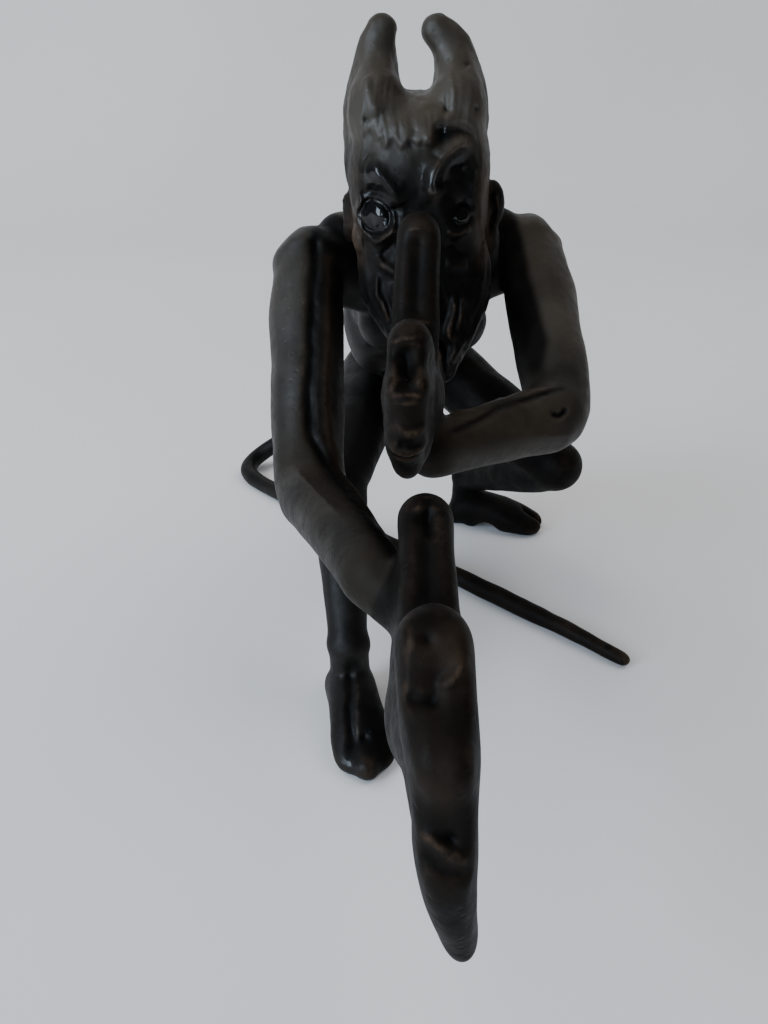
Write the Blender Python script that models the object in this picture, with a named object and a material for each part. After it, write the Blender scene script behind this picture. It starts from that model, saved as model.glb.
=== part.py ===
"""Cast bronze devil figurine that thumbs its nose with both hands.

Nine castings (torso, head, two arms, two hands, two legs, tail) meet at flat seats and are held together
by eight hidden dowels. Lengths are in metres, +Z is up, the figure faces -Y, and its right side is at -X.
"""
import math
from collections import namedtuple

import bmesh
import bpy
import numpy as np
from mathutils import Vector

# Fits between castings and dowels
SEAT_GAP = 0.0003
DOWEL_CLEARANCE = 0.0002
DOWEL_END_CLEARANCE = 0.0003
DOWEL_CHAMFER = 0.0002
NECK_DOWEL_RADIUS = 0.0013
NECK_DOWEL_DEPTH = 0.0040
SHOULDER_DOWEL_RADIUS = 0.0011
SHOULDER_DOWEL_DEPTH = 0.0036
WRIST_DOWEL_RADIUS = 0.0008
WRIST_DOWEL_DEPTH = 0.0026
HIP_DOWEL_RADIUS = 0.0012
HIP_DOWEL_DEPTH = 0.0040
TAIL_DOWEL_RADIUS = 0.0006
TAIL_DOWEL_DEPTH = 0.0030

# Spine, from the pelvis to the shoulder girdle
PELVIS = Vector((0.0005, 0.0335, 0.0302))
WAIST = Vector((0.0005, 0.0248, 0.0380))
RIBS = Vector((0.0008, 0.0193, 0.0428))
GIRDLE = Vector((0.0010, 0.0152, 0.0464))
PELVIS_HALF_WIDTH = 0.0080
PELVIS_HALF_DEPTH = 0.0062
WAIST_HALF_WIDTH = 0.0066
WAIST_HALF_DEPTH = 0.0055
RIBS_HALF_WIDTH = 0.0087
RIBS_HALF_DEPTH = 0.0068
GIRDLE_HALF_WIDTH = 0.0084
GIRDLE_HALF_DEPTH = 0.0062
BUTTOCK_RADIUS = 0.0043
BUTTOCK_SPREAD = 0.0040
BUTTOCK_BACK = 0.0028
CHEST_MUSCLE_RADIUS = 0.0038
CHEST_MUSCLE_SPREAD = 0.0041
CHEST_MUSCLE_OUT = 0.0036
SHOULDER_BLADE_RADIUS = 0.0034
SHOULDER_BLADE_SPREAD = 0.0052
SHOULDER_BLADE_OUT = 0.0038

# Neck seat, and the head measured from its centre
NECK_SEAT = Vector((0.0001, 0.0106, 0.0524))
NECK_RADIUS = 0.0043
HEAD_FROM_SEAT = Vector((-0.0005, -0.0026, 0.0076))
SKULL_HALF_WIDTH = 0.0074
SKULL_HALF_DEPTH = 0.0083
CROWN_HEIGHT = 0.0084
JAW_DROP = 0.0074
HAIR_THICKNESS = 0.0005
EYE_RADIUS = 0.0016
NOSE_LENGTH = 0.0029
NOSE_DROP = 0.0028
NOSE_HALF_WIDTH = 0.0017
NOSE_THICKNESS = 0.0026
NOSE_ROOT_RADIUS = 0.0018
BROW_RADIUS = 0.0011
MUZZLE = Vector((0.0002, -0.0082, -0.0060))
MUZZLE_HALF_WIDTH = 0.0036
MUZZLE_HALF_HEIGHT = 0.0018
CHIN = Vector((0.0002, -0.0048, -0.0066))
BEARD_LENGTH = 0.0112
BEARD_HALF_WIDTH = 0.0072
BEARD_HALF_DEPTH = 0.0042
BEARD_LEAN = 0.0029
BEARD_FORWARD = 0.0062
HORN_LENGTH = 0.0088
HORN_RADIUS = 0.0034
HORN_LEAN_RIGHT = 0.0006
HORN_LEAN_LEFT = 0.0022
EAR_HALF_LENGTH_RIGHT = 0.0029
EAR_HALF_LENGTH_LEFT = 0.0038
EAR_HALF_WIDTH = 0.0022
EAR_HALF_THICKNESS = 0.0023

# Arms
SHOULDER_RIGHT = Vector((-0.0122, 0.0095, 0.0514))
ELBOW_RIGHT = Vector((-0.0112, -0.0112, 0.0342))
SHOULDER_LEFT = Vector((0.0136, 0.0155, 0.0517))
ELBOW_LEFT = Vector((0.0152, -0.0040, 0.0386))
SHOULDER_RADIUS = 0.0042
SHOULDER_BAR_RADIUS = 0.0039
SHOULDER_SEAT_DROP = 0.0047
ARM_SEAT_RADIUS = 0.0040
UPPER_ARM_RADIUS = 0.0039
ELBOW_RADIUS = 0.0036
FOREARM_RADIUS = 0.0034
WRIST_RADIUS = 0.0028

# Hands: both lie edge-on in front of the nose, each swung a little about an upright axis
THUMB_REACH_LEFT = 0.0152
THUMB_REACH_RIGHT = 0.0160
THUMB_ANGLE_LEFT = math.radians(126)
THUMB_ANGLE_RIGHT = math.radians(158)
SWING_LEFT = math.radians(-4)
SWING_RIGHT = math.radians(-0.5)
THUMB_RADIUS = 0.0023
FINGER_HALF_WIDTH = 0.0021
FINGER_HALF_HEIGHT = 0.0022
FINGER_TIP_RADIUS = 0.0020
FINGER_TIP_HALF_WIDTH = 0.0018
FINGER_ANGLES_LEFT = [math.radians(a) for a in (41, 24, 8, -8)]
FINGER_ANGLES_RIGHT = [math.radians(a) for a in (62, 36, 10, -20)]
FINGER_REACH_LEFT = (0.0140, 0.0156, 0.0147, 0.0122)
FINGER_REACH_RIGHT = (0.0148, 0.0157, 0.0147, 0.0142)
PALM_HALF_LENGTH = 0.0052
PALM_HALF_HEIGHT = 0.0047
PALM_HALF_THICKNESS = 0.0029
WRIST_FROM_PALM_RIGHT = Vector((-0.0046, 0.0164, 0.0012))
WRIST_FROM_PALM_LEFT = Vector((0.0042, 0.0016, -0.0054))
HAND_TO_HAND = Vector((0.0014, -0.0031, -0.0023))

# Legs and feet
HIP_RIGHT = Vector((-0.0052, 0.0305, 0.0305))
KNEE_RIGHT = Vector((-0.0095, 0.0095, 0.0230))
ANKLE_RIGHT = Vector((-0.0080, -0.0055, 0.0085))
HIP_LEFT = Vector((0.0062, 0.0315, 0.0305))
KNEE_LEFT = Vector((0.0212, 0.0205, 0.0202))
ANKLE_LEFT = Vector((0.0107, 0.0395, 0.0085))
HIP_SEAT_OUT = 0.0052
THIGH_RADIUS = 0.0047
KNEE_RADIUS = 0.0037
CALF_RADIUS = 0.0033
ANKLE_RADIUS = 0.0026
FOOT_TURN_RIGHT = math.radians(12)
FOOT_TURN_LEFT = math.radians(75)
TOE_REACH = 0.0140
HEEL_REACH = 0.0036
FOOT_HALF_WIDTH = 0.0038
INSTEP_HEIGHT = 0.0066
CLEFT_WIDTH = 0.0008
CLEFT_LENGTH = 0.0042
ARCH_RADIUS = 0.0022
ARCH_HEIGHT = 0.0015

# Tail: route of its centre line, from its root down to the table and forward under the body
TAIL_ROUTE = [Vector(point) for point in (
    (0.0003, 0.0408, 0.0318), (-0.0020, 0.0456, 0.0294), (-0.0072, 0.0520, 0.0224), (-0.0146, 0.0578, 0.0134),
    (-0.0214, 0.0610, 0.0070), (-0.0268, 0.0610, 0.0034), (-0.0298, 0.0582, 0.0017),
    (-0.0292, 0.0542, 0.0013), (-0.0256, 0.0498, 0.0013), (-0.0180, 0.0428, 0.0013),
    (-0.0095, 0.0352, 0.0013), (0, 0.0268, 0.0013), (0.0104, 0.0176, 0.0013), (0.0220, 0.0072, 0.0012),
    (0.0286, 0.0008, 0.0010))]
TAIL_ROOT_RADIUS = 0.0021
TAIL_STUB_LENGTH = 0.0030
TAIL_RADIUS = 0.0015
TAIL_TIP_RADIUS = 0.0009

# Facets
LIMB_SIDES = 13
SMALL_SIDES = 10
DOWEL_SIDES = 12
DOME_RINGS = 3
WELD_DISTANCE = 0.000002
SHARP_ANGLE = math.radians(40)
TABLE_SIZE = 0.2

# Shares of the sizes above, section by section
SKULL_SECTIONS = ((-0.92, 0.60, 0.34, -0.40), (-0.68, 0.82, 0.54, -0.28), (-0.30, 0.95, 0.86, -0.08),
                  (0.0, 0.99, 0.99, 0.0), (0.35, 1.0, 1.0, 0.02), (0.65, 0.93, 0.93, 0.05),
                  (0.85, 0.72, 0.72, 0.06))
HORN_SECTIONS = ((0.0, 0.0, -0.42, 0.84), (0.0, 0.0, 0.0, 1.0), (0.05, -0.04, 0.28, 0.92),
                 (-0.05, -0.10, 0.55, 0.74), (-0.4, -0.14, 0.80, 0.58), (-1.0, -0.15, 0.95, 0.46))
NOSE_ROOT_SECTIONS = ((-0.90, 0.12), (-0.98, -0.18), (-0.86, -0.52))
BEARD_SECTIONS = ((0.20, 0.0, 0.96, 1.0), (0.38, 0.28, 0.96, 0.92), (0.50, 0.56, 0.71, 0.64),
                  (0.76, 0.82, 0.40, 0.37), (1.0, 0.95, 0.18, 0.17))
FOOT_SECTIONS = ((-0.40, 0.72, 0.52), (0.0, 0.84, 0.92), (0.30, 0.86, 0.88), (0.60, 1.0, 0.66),
                 (0.80, 0.95, 0.44))
HAIRLINE_SHARE = 0.62
INNER_BALL = 0.94
LITTLE_TIP_SHARE = 0.70
HEEL_SHARE = 0.6

# Places on the left half of the face, as shares of the skull's half width, half depth and height
BRIDGE_SHARES = Vector((0, -0.94, 0.17))
EYE_SHARES = Vector((0.57, -0.72, -0.216))
BROW_INNER_SHARES = Vector((0.18, -0.965, 0.07))
BROW_MIDDLE_SHARES = Vector((0.41, -0.93, 0.31))
BROW_OUTER_SHARES = Vector((0.58, -0.78, 0.60))
CHEEK_SHARES = Vector((0.54, -0.60, -0.613))
CHEEK_SIZE = 0.36
EAR_SHARES = Vector((0.91, -0.12, -0.454))
HORN_SHARES = Vector((0.555, 0.0, 0.62))
TEMPLE_SHARES = Vector((0.52, -0.385, 0.785))
TEMPLE_SIZE = (0.42, 0.50, 0.52)

X_AXIS = Vector((1, 0, 0))
Z_AXIS = Vector((0, 0, 1))

Station = namedtuple("Station", "centre width depth")
Seat = namedtuple("Seat", "point direction dowel_radius dowel_depth")


def new_object(name, builder):
    """Make a linked object from a bmesh, with its faces pointing out."""
    bmesh.ops.recalc_face_normals(builder, faces=builder.faces)
    mesh = bpy.data.meshes.new(name)
    builder.to_mesh(mesh)
    builder.free()
    solid = bpy.data.objects.new(name, mesh)
    bpy.context.collection.objects.link(solid)
    return solid


def smooth_stations(stations, steps):
    """Read more stations off a Catmull-Rom curve through the given ones."""
    rows = np.array([[*s.centre, s.width, s.depth] for s in stations])
    padded = np.vstack([2 * rows[0] - rows[1], rows, 2 * rows[-1] - rows[-2]])
    smooth = []
    for a, b, c, d in zip(padded, padded[1:], padded[2:], padded[3:]):
        for step in range(steps):
            t = step / steps
            smooth.append(0.5 * (2 * b + (c - a) * t + (2 * a - 5 * b + 4 * c - d) * t ** 2
                                 + (3 * b - a - 3 * c + d) * t ** 3))
    smooth.append(rows[-1])
    return [Station(Vector(row[:3]), row[3], row[4]) for row in smooth]


def loft(name, stations, across, start=None, end=None, sides=LIMB_SIDES, steps=3, bulge=1.0):
    """Skin oval sections along a path.

    across is the direction of each section's width. An end is a flat face square to the direction given
    for it, or else round, with bulge its height for its radius.
    """
    path = smooth_stations(stations, steps)
    tangents = [(path[min(i + 1, len(path) - 1)].centre - path[max(i - 1, 0)].centre).normalized()
                for i in range(len(path))]
    tangents[0] = start or tangents[0]
    tangents[-1] = end or tangents[-1]
    sections = [(s.centre, t, s.width, s.depth) for s, t in zip(path, tangents)]

    def dome(station, tangent, outward):
        reach = bulge * 0.5 * (station.width + station.depth)
        turns = [0.5 * math.pi * ring / (DOME_RINGS + 0.4) for ring in range(1, DOME_RINGS + 1)]
        return [(station.centre + outward * (reach * math.sin(turn)), tangent,
                 station.width * math.cos(turn), station.depth * math.cos(turn)) for turn in turns]

    if start is None:
        sections = dome(path[0], tangents[0], -tangents[0])[::-1] + sections
    if end is None:
        sections = sections + dome(path[-1], tangents[-1], tangents[-1])

    builder = bmesh.new()
    rings = []
    angles = [2 * math.pi * (i + 0.5) / sides for i in range(sides)]
    for centre, tangent, width, depth in sections:
        wide = (across - across.dot(tangent) * tangent).normalized()
        deep = tangent.cross(wide)
        rings.append([builder.verts.new(centre + wide * (width * math.cos(a)) + deep * (depth * math.sin(a)))
                      for a in angles])
    for low, high in zip(rings, rings[1:]):
        for i in range(sides):
            builder.faces.new((low[i], low[(i + 1) % sides], high[(i + 1) % sides], high[i]))
    builder.faces.new(rings[0])
    builder.faces.new(rings[-1])
    return new_object(name, builder)


def ball(name, centre, radii, segments=12, rings=8):
    """Make a closed oval ball with its radii along X, Y and Z."""
    builder = bmesh.new()
    bmesh.ops.create_uvsphere(builder, u_segments=segments, v_segments=rings, radius=1.0)
    for vert in builder.verts:
        vert.co = centre + Vector(c * r for c, r in zip(vert.co, radii))
    return new_object(name, builder)


def block(name, centre, size, turn=0.0):
    """Make a box of the given size, turned about Z."""
    builder = bmesh.new()
    bmesh.ops.create_cube(builder, size=1.0)
    cos, sin = math.cos(turn), math.sin(turn)
    for vert in builder.verts:
        x, y, z = (c * s for c, s in zip(vert.co, size))
        vert.co = centre + Vector((x * cos - y * sin, x * sin + y * cos, z))
    return new_object(name, builder)


def rod(name, centre, direction, half_length, radius, chamfer=0.0):
    """Make a straight round rod with flat, chamfered ends."""
    across = X_AXIS if abs(direction.x) < 0.8 else Z_AXIS
    ends = [(half_length - chamfer, radius)]
    if chamfer:
        ends.insert(0, (half_length, radius - chamfer))
    profile = [(-along, r) for along, r in ends] + [(along, r) for along, r in reversed(ends)]
    stations = [Station(centre + direction * along, r, r) for along, r in profile]
    return loft(name, stations, across, direction, direction, DOWEL_SIDES, 1)


def combine(base, tools, operation):
    """Join the tools to the base, or cut them out of it, and delete them."""
    for tool in tools:
        change = base.modifiers.new(tool.name, "BOOLEAN")
        change.solver = "EXACT"
        change.operation = operation
        change.object = tool
    bpy.context.view_layer.update()
    evaluated = base.evaluated_get(bpy.context.evaluated_depsgraph_get())
    mesh = bpy.data.meshes.new_from_object(evaluated)
    base.modifiers.clear()
    base.data = mesh
    for tool in tools:
        bpy.data.objects.remove(tool)
    builder = bmesh.new()
    builder.from_mesh(mesh)
    bmesh.ops.remove_doubles(builder, verts=builder.verts, dist=WELD_DISTANCE)
    bmesh.ops.dissolve_degenerate(builder, edges=builder.edges, dist=WELD_DISTANCE)
    builder.to_mesh(mesh)
    builder.free()
    return base


def fuse(name, solids):
    """Join overlapping solids into one casting."""
    casting = combine(solids[0], solids[1:], "UNION")
    casting.name = name
    return casting


def bore(casting, *seats):
    """Cut the dowel holes of a casting's seats."""
    holes = [rod("bore", s.point + s.direction * 0.5 * SEAT_GAP, s.direction,
                 s.dowel_depth + DOWEL_END_CLEARANCE, s.dowel_radius + DOWEL_CLEARANCE) for s in seats]
    return combine(casting, holes, "DIFFERENCE")


def flat_sole(casting):
    """Cut a casting off level with the table."""
    table = block("table", Vector((0, 0, -0.5 * TABLE_SIZE)), (TABLE_SIZE, TABLE_SIZE, TABLE_SIZE))
    return combine(casting, [table], "DIFFERENCE")


def between(start, end, share):
    """Point or size at a share of the way from start to end."""
    return start + (end - start) * share


def round_station(centre, radius):
    """Round section."""
    return Station(centre, radius, radius)


def on_skull(shares, side):
    """Place on one half of the face, for shares of the skull's half width, half depth and height."""
    ahead, up = shares[1:]
    height = CROWN_HEIGHT if up > 0 else JAW_DROP
    return HEAD + Vector((side * SKULL_HALF_WIDTH * shares[0], SKULL_HALF_DEPTH * ahead, height * up))


def in_hand_plane(angle, swing):
    """Direction in a hand's plane, at an angle above straight ahead."""
    return Vector((math.sin(swing) * math.cos(angle), -math.cos(swing) * math.cos(angle), math.sin(angle)))


def limb_seat(joint, next_joint, distance, radius, depth):
    """Seat square to a limb, a distance along it from its joint."""
    direction = (next_joint - joint).normalized()
    return Seat(joint + direction * distance, direction, radius, depth)


def beyond(seat):
    """Start of the casting that sits on the far side of a seat."""
    return seat.point + seat.direction * SEAT_GAP


# Places that follow from the driving dimensions
HEAD = NECK_SEAT + HEAD_FROM_SEAT
NOSE_TIP = HEAD + Vector((0, -SKULL_HALF_DEPTH - NOSE_LENGTH, -NOSE_DROP))
THUMB_TIP_LEFT = NOSE_TIP + Vector((0, -(THUMB_RADIUS + SEAT_GAP), 0))
PALM_LEFT = THUMB_TIP_LEFT - in_hand_plane(THUMB_ANGLE_LEFT, SWING_LEFT) * THUMB_REACH_LEFT
LITTLE_TIP_LEFT = PALM_LEFT + in_hand_plane(FINGER_ANGLES_LEFT[3], SWING_LEFT) * FINGER_REACH_LEFT[3]
THUMB_TIP_RIGHT = LITTLE_TIP_LEFT + HAND_TO_HAND
PALM_RIGHT = THUMB_TIP_RIGHT - in_hand_plane(THUMB_ANGLE_RIGHT, SWING_RIGHT) * THUMB_REACH_RIGHT
WRIST_RIGHT = PALM_RIGHT + WRIST_FROM_PALM_RIGHT
WRIST_LEFT = PALM_LEFT + WRIST_FROM_PALM_LEFT

NECK = limb_seat(NECK_SEAT, HEAD, 0, NECK_DOWEL_RADIUS, NECK_DOWEL_DEPTH)
RIGHT_SHOULDER = limb_seat(SHOULDER_RIGHT, ELBOW_RIGHT, SHOULDER_SEAT_DROP,
                           SHOULDER_DOWEL_RADIUS, SHOULDER_DOWEL_DEPTH)
LEFT_SHOULDER = limb_seat(SHOULDER_LEFT, ELBOW_LEFT, SHOULDER_SEAT_DROP,
                          SHOULDER_DOWEL_RADIUS, SHOULDER_DOWEL_DEPTH)
RIGHT_WRIST = limb_seat(WRIST_RIGHT, 2 * WRIST_RIGHT - ELBOW_RIGHT, 0, WRIST_DOWEL_RADIUS, WRIST_DOWEL_DEPTH)
LEFT_WRIST = limb_seat(WRIST_LEFT, 2 * WRIST_LEFT - ELBOW_LEFT, 0, WRIST_DOWEL_RADIUS, WRIST_DOWEL_DEPTH)
RIGHT_HIP = limb_seat(HIP_RIGHT, KNEE_RIGHT, HIP_SEAT_OUT, HIP_DOWEL_RADIUS, HIP_DOWEL_DEPTH)
LEFT_HIP = limb_seat(HIP_LEFT, KNEE_LEFT, HIP_SEAT_OUT, HIP_DOWEL_RADIUS, HIP_DOWEL_DEPTH)
TAIL_ROOT = limb_seat(TAIL_ROUTE[0], TAIL_ROUTE[1], 0, TAIL_DOWEL_RADIUS, TAIL_DOWEL_DEPTH)


def make_torso():
    """Bent-over trunk with stubs out to the neck, shoulder, hip and tail seats."""
    shoulder_line = (SHOULDER_LEFT - SHOULDER_RIGHT).normalized()
    front = X_AXIS.cross(GIRDLE - PELVIS).normalized()
    spine = [
        Station(PELVIS, PELVIS_HALF_WIDTH, PELVIS_HALF_DEPTH),
        Station(between(PELVIS, WAIST, 0.5), between(PELVIS_HALF_WIDTH, WAIST_HALF_WIDTH, 0.5),
                PELVIS_HALF_DEPTH),
        Station(WAIST, WAIST_HALF_WIDTH, WAIST_HALF_DEPTH),
        Station(RIBS, RIBS_HALF_WIDTH, RIBS_HALF_DEPTH),
        Station(GIRDLE, GIRDLE_HALF_WIDTH, GIRDLE_HALF_DEPTH),
    ]
    solids = [loft("trunk", spine, (X_AXIS + shoulder_line).normalized(), sides=18, steps=2, bulge=0.45)]
    neck = [round_station(NECK.point - NECK.direction * NECK_RADIUS, NECK_RADIUS * 1.06),
            round_station(NECK.point, NECK_RADIUS)]
    solids.append(loft("neck_stub", neck, X_AXIS, None, NECK.direction, steps=2))
    for joint, seat in ((SHOULDER_RIGHT, RIGHT_SHOULDER), (SHOULDER_LEFT, LEFT_SHOULDER)):
        bar = [round_station(between(GIRDLE, joint, 0.25), SHOULDER_BAR_RADIUS),
               round_station(joint, SHOULDER_RADIUS)]
        solids.append(loft("shoulder_bar", bar, Z_AXIS))
        stub = [round_station(joint, ARM_SEAT_RADIUS * 0.97), round_station(seat.point, ARM_SEAT_RADIUS)]
        solids.append(loft("shoulder_stub", stub, X_AXIS, None, seat.direction, steps=2))
    for joint, seat in ((HIP_RIGHT, RIGHT_HIP), (HIP_LEFT, LEFT_HIP)):
        stub = [round_station(joint, THIGH_RADIUS * 1.03), round_station(seat.point, THIGH_RADIUS)]
        solids.append(loft("hip_stub", stub, Z_AXIS, None, seat.direction, steps=2))
    for side in (-1, 1):
        sideways = X_AXIS * side
        buttock = PELVIS + sideways * BUTTOCK_SPREAD + Vector((0, BUTTOCK_BACK, 0))
        solids.append(ball("buttock", buttock, [BUTTOCK_RADIUS] * 3))
        muscle = GIRDLE + sideways * CHEST_MUSCLE_SPREAD + front * CHEST_MUSCLE_OUT
        solids.append(ball("chest_muscle", muscle, [CHEST_MUSCLE_RADIUS] * 3))
        blade = GIRDLE + sideways * SHOULDER_BLADE_SPREAD - front * SHOULDER_BLADE_OUT
        solids.append(ball("shoulder_blade", blade, [SHOULDER_BLADE_RADIUS] * 3))
    root = [round_station(TAIL_ROOT.point - TAIL_ROOT.direction * TAIL_STUB_LENGTH, TAIL_ROOT_RADIUS * 1.3),
            round_station(TAIL_ROOT.point, TAIL_ROOT_RADIUS)]
    solids.append(loft("tail_stub", root, X_AXIS, None, TAIL_ROOT.direction, SMALL_SIDES, 2))
    torso = fuse("torso", solids)
    return bore(torso, NECK, RIGHT_SHOULDER, LEFT_SHOULDER, RIGHT_HIP, LEFT_HIP, TAIL_ROOT)


def make_horn(name, side, lean):
    """Thick tapered horn that rises from the crown and leans in at its tip."""
    root = on_skull(HORN_SHARES, side)
    stations = [round_station(root + Vector((side * lean * inward, HORN_LENGTH * back, HORN_LENGTH * up)),
                              HORN_RADIUS * size) for inward, back, up, size in HORN_SECTIONS]
    return loft(name, stations, X_AXIS, sides=12, steps=2)


def make_head():
    """Long-jawed head with horns, ears, steep brows, bulging eyes and a pointed beard."""
    skull = [Station(on_skull((0, back, up), 1), SKULL_HALF_WIDTH * wide, SKULL_HALF_DEPTH * deep)
             for up, wide, deep, back in SKULL_SECTIONS]
    solids = [loft("skull", skull, X_AXIS, sides=20, steps=2, bulge=0.2)]
    solids.append(loft("neck", [round_station(beyond(NECK), NECK_RADIUS), round_station(HEAD, NECK_RADIUS)],
                       X_AXIS, NECK.direction, None, steps=2))
    hair_depth = SKULL_HALF_DEPTH + HAIR_THICKNESS
    hairline = HEAD + Z_AXIS * CROWN_HEIGHT * HAIRLINE_SHARE
    hair = [Station(hairline, SKULL_HALF_WIDTH * 0.92, hair_depth * 0.95),
            Station(HEAD + Z_AXIS * CROWN_HEIGHT * 0.88, SKULL_HALF_WIDTH * 0.74, hair_depth * 0.72)]
    solids.append(loft("hair", hair, X_AXIS, Z_AXIS, None, sides=20, steps=2, bulge=0.2))
    bridge = on_skull(BRIDGE_SHARES, 1)
    nose = [Station(bridge, 0.6 * NOSE_HALF_WIDTH, 0.4 * NOSE_THICKNESS),
            Station(between(bridge, NOSE_TIP, 0.5), 0.75 * NOSE_HALF_WIDTH, 0.45 * NOSE_THICKNESS),
            Station(NOSE_TIP + Vector((0, 0.5 * NOSE_THICKNESS, 0)), NOSE_HALF_WIDTH, 0.5 * NOSE_THICKNESS),
            Station(NOSE_TIP + Vector((0, 1.3, -0.5)) * NOSE_THICKNESS, 1.1 * NOSE_HALF_WIDTH,
                    0.5 * NOSE_THICKNESS)]
    solids.append(loft("nose", nose, X_AXIS, sides=12, steps=2))
    nose_root = [round_station(on_skull((0, ahead, up), 1), NOSE_ROOT_RADIUS)
                 for ahead, up in NOSE_ROOT_SECTIONS]
    solids.append(loft("nose_root", nose_root, X_AXIS, sides=SMALL_SIDES, steps=2))
    beard = [Station(HEAD + CHIN + Vector((BEARD_LEAN * lean, -BEARD_FORWARD * drop, -BEARD_LENGTH * drop)),
                     BEARD_HALF_WIDTH * wide, BEARD_HALF_DEPTH * deep)
             for lean, drop, wide, deep in BEARD_SECTIONS]
    solids.append(loft("beard", beard, X_AXIS, steps=2))
    solids.append(make_horn("right_horn", -1, HORN_LEAN_RIGHT))
    solids.append(make_horn("left_horn", 1, HORN_LEAN_LEFT))
    solids.append(ball("right_ear", on_skull(EAR_SHARES, -1),
                       (EAR_HALF_THICKNESS, EAR_HALF_WIDTH, EAR_HALF_LENGTH_RIGHT)))
    solids.append(ball("left_ear", on_skull(EAR_SHARES, 1),
                       (EAR_HALF_THICKNESS, EAR_HALF_WIDTH, EAR_HALF_LENGTH_LEFT)))
    solids.append(ball("muzzle", HEAD + MUZZLE, (MUZZLE_HALF_WIDTH, MUZZLE_HALF_HEIGHT, MUZZLE_HALF_HEIGHT)))
    for side in (-1, 1):
        solids.append(ball("eye", on_skull(EYE_SHARES, side), [EYE_RADIUS] * 3))
        solids.append(ball("temple", on_skull(TEMPLE_SHARES, side), [share * size for share, size in zip(
            TEMPLE_SIZE, (SKULL_HALF_WIDTH, SKULL_HALF_DEPTH, CROWN_HEIGHT))]))
        solids.append(ball("cheek", on_skull(CHEEK_SHARES, side), [CHEEK_SIZE * SKULL_HALF_WIDTH] * 3))
        brow = [round_station(on_skull(BROW_INNER_SHARES, side), BROW_RADIUS * 0.9),
                round_station(on_skull(BROW_MIDDLE_SHARES, side), BROW_RADIUS),
                round_station(on_skull(BROW_OUTER_SHARES, side), BROW_RADIUS * 0.7)]
        solids.append(loft("brow", brow, X_AXIS, sides=SMALL_SIDES, steps=2))
    return bore(fuse("head", solids), NECK)


def make_arm(name, shoulder, elbow, wrist):
    """Upper arm and forearm in one casting, from the shoulder seat to the wrist seat."""
    hinge = (elbow - shoulder.point).cross(wrist.point - elbow).normalized()
    top = beyond(shoulder)
    arm = [round_station(top, ARM_SEAT_RADIUS),
           round_station(between(top, elbow, 0.45), UPPER_ARM_RADIUS),
           round_station(between(top, elbow, 0.8), between(UPPER_ARM_RADIUS, ELBOW_RADIUS, 0.8)),
           round_station(between(elbow, wrist.point, 0.08), ELBOW_RADIUS),
           round_station(between(elbow, wrist.point, 0.4), FOREARM_RADIUS),
           round_station(between(elbow, wrist.point, 0.75), between(FOREARM_RADIUS, WRIST_RADIUS, 0.6)),
           round_station(wrist.point, WRIST_RADIUS)]
    return bore(loft(name, arm, hinge, shoulder.direction, wrist.direction), shoulder, wrist)


def make_hand(name, wrist, palm, thumb_tip, swing, angles, reaches):
    """Flat hand seen edge-on, with its thumb back and four fingers fanned ahead."""
    across = Vector((math.cos(swing), math.sin(swing), 0))
    forward = in_hand_plane(sum(angles) / len(angles), swing)
    upward = forward.cross(across)
    slab = [Station(palm - forward * PALM_HALF_LENGTH * 0.5, PALM_HALF_THICKNESS, PALM_HALF_HEIGHT * 0.85),
            Station(palm, PALM_HALF_THICKNESS, PALM_HALF_HEIGHT),
            Station(palm + forward * PALM_HALF_LENGTH * 0.5, PALM_HALF_THICKNESS * 0.88, PALM_HALF_HEIGHT)]
    solids = [loft("palm", slab, across, steps=2)]
    seat = beyond(wrist)
    inner = seat + wrist.direction * WRIST_RADIUS * 0.8
    collar = [round_station(seat, WRIST_RADIUS), round_station(inner, WRIST_RADIUS)]
    solids.append(loft("collar", collar, Z_AXIS, wrist.direction, None, steps=1))
    to_wrist = wrist.point - palm
    heel = palm + (to_wrist - across * to_wrist.dot(across)) * HEEL_SHARE
    turn = [round_station(inner, WRIST_RADIUS * INNER_BALL), round_station(heel, PALM_HALF_THICKNESS * 0.95)]
    solids.append(loft("turn", turn, across, steps=1))
    pad = [Station(heel, PALM_HALF_THICKNESS * 0.9, PALM_HALF_HEIGHT * 0.66),
           Station(palm, PALM_HALF_THICKNESS * 0.94, PALM_HALF_HEIGHT * 0.86)]
    solids.append(loft("pad", pad, across, steps=2))
    root = between(palm, thumb_tip, 0.12)
    thumb = [round_station(root, THUMB_RADIUS * 1.05),
             round_station(between(root, thumb_tip, 0.5), THUMB_RADIUS),
             round_station(thumb_tip, THUMB_RADIUS * 0.95)]
    solids.append(loft("thumb", thumb, across, sides=12, steps=2))
    for place, (angle, reach) in enumerate(zip(angles, reaches)):
        spread = (1.5 - place) / 1.5 * (PALM_HALF_HEIGHT - FINGER_HALF_HEIGHT)
        knuckle = palm + forward * PALM_HALF_LENGTH * 0.6 + upward * spread
        tip_share = LITTLE_TIP_SHARE if place == len(angles) - 1 else 1.0
        tip_radius = FINGER_TIP_RADIUS * tip_share
        tip = palm + in_hand_plane(angle, swing) * (reach - tip_radius)
        middle = between(knuckle, tip, 0.5) + upward * FINGER_HALF_HEIGHT * 0.15
        finger = [Station(knuckle, FINGER_HALF_WIDTH, FINGER_HALF_HEIGHT),
                  Station(middle, FINGER_HALF_WIDTH, FINGER_HALF_HEIGHT),
                  Station(tip, FINGER_TIP_HALF_WIDTH * tip_share, tip_radius)]
        solids.append(loft("finger", finger, across, sides=SMALL_SIDES, steps=2))
    return bore(fuse(name, solids), wrist)


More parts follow.
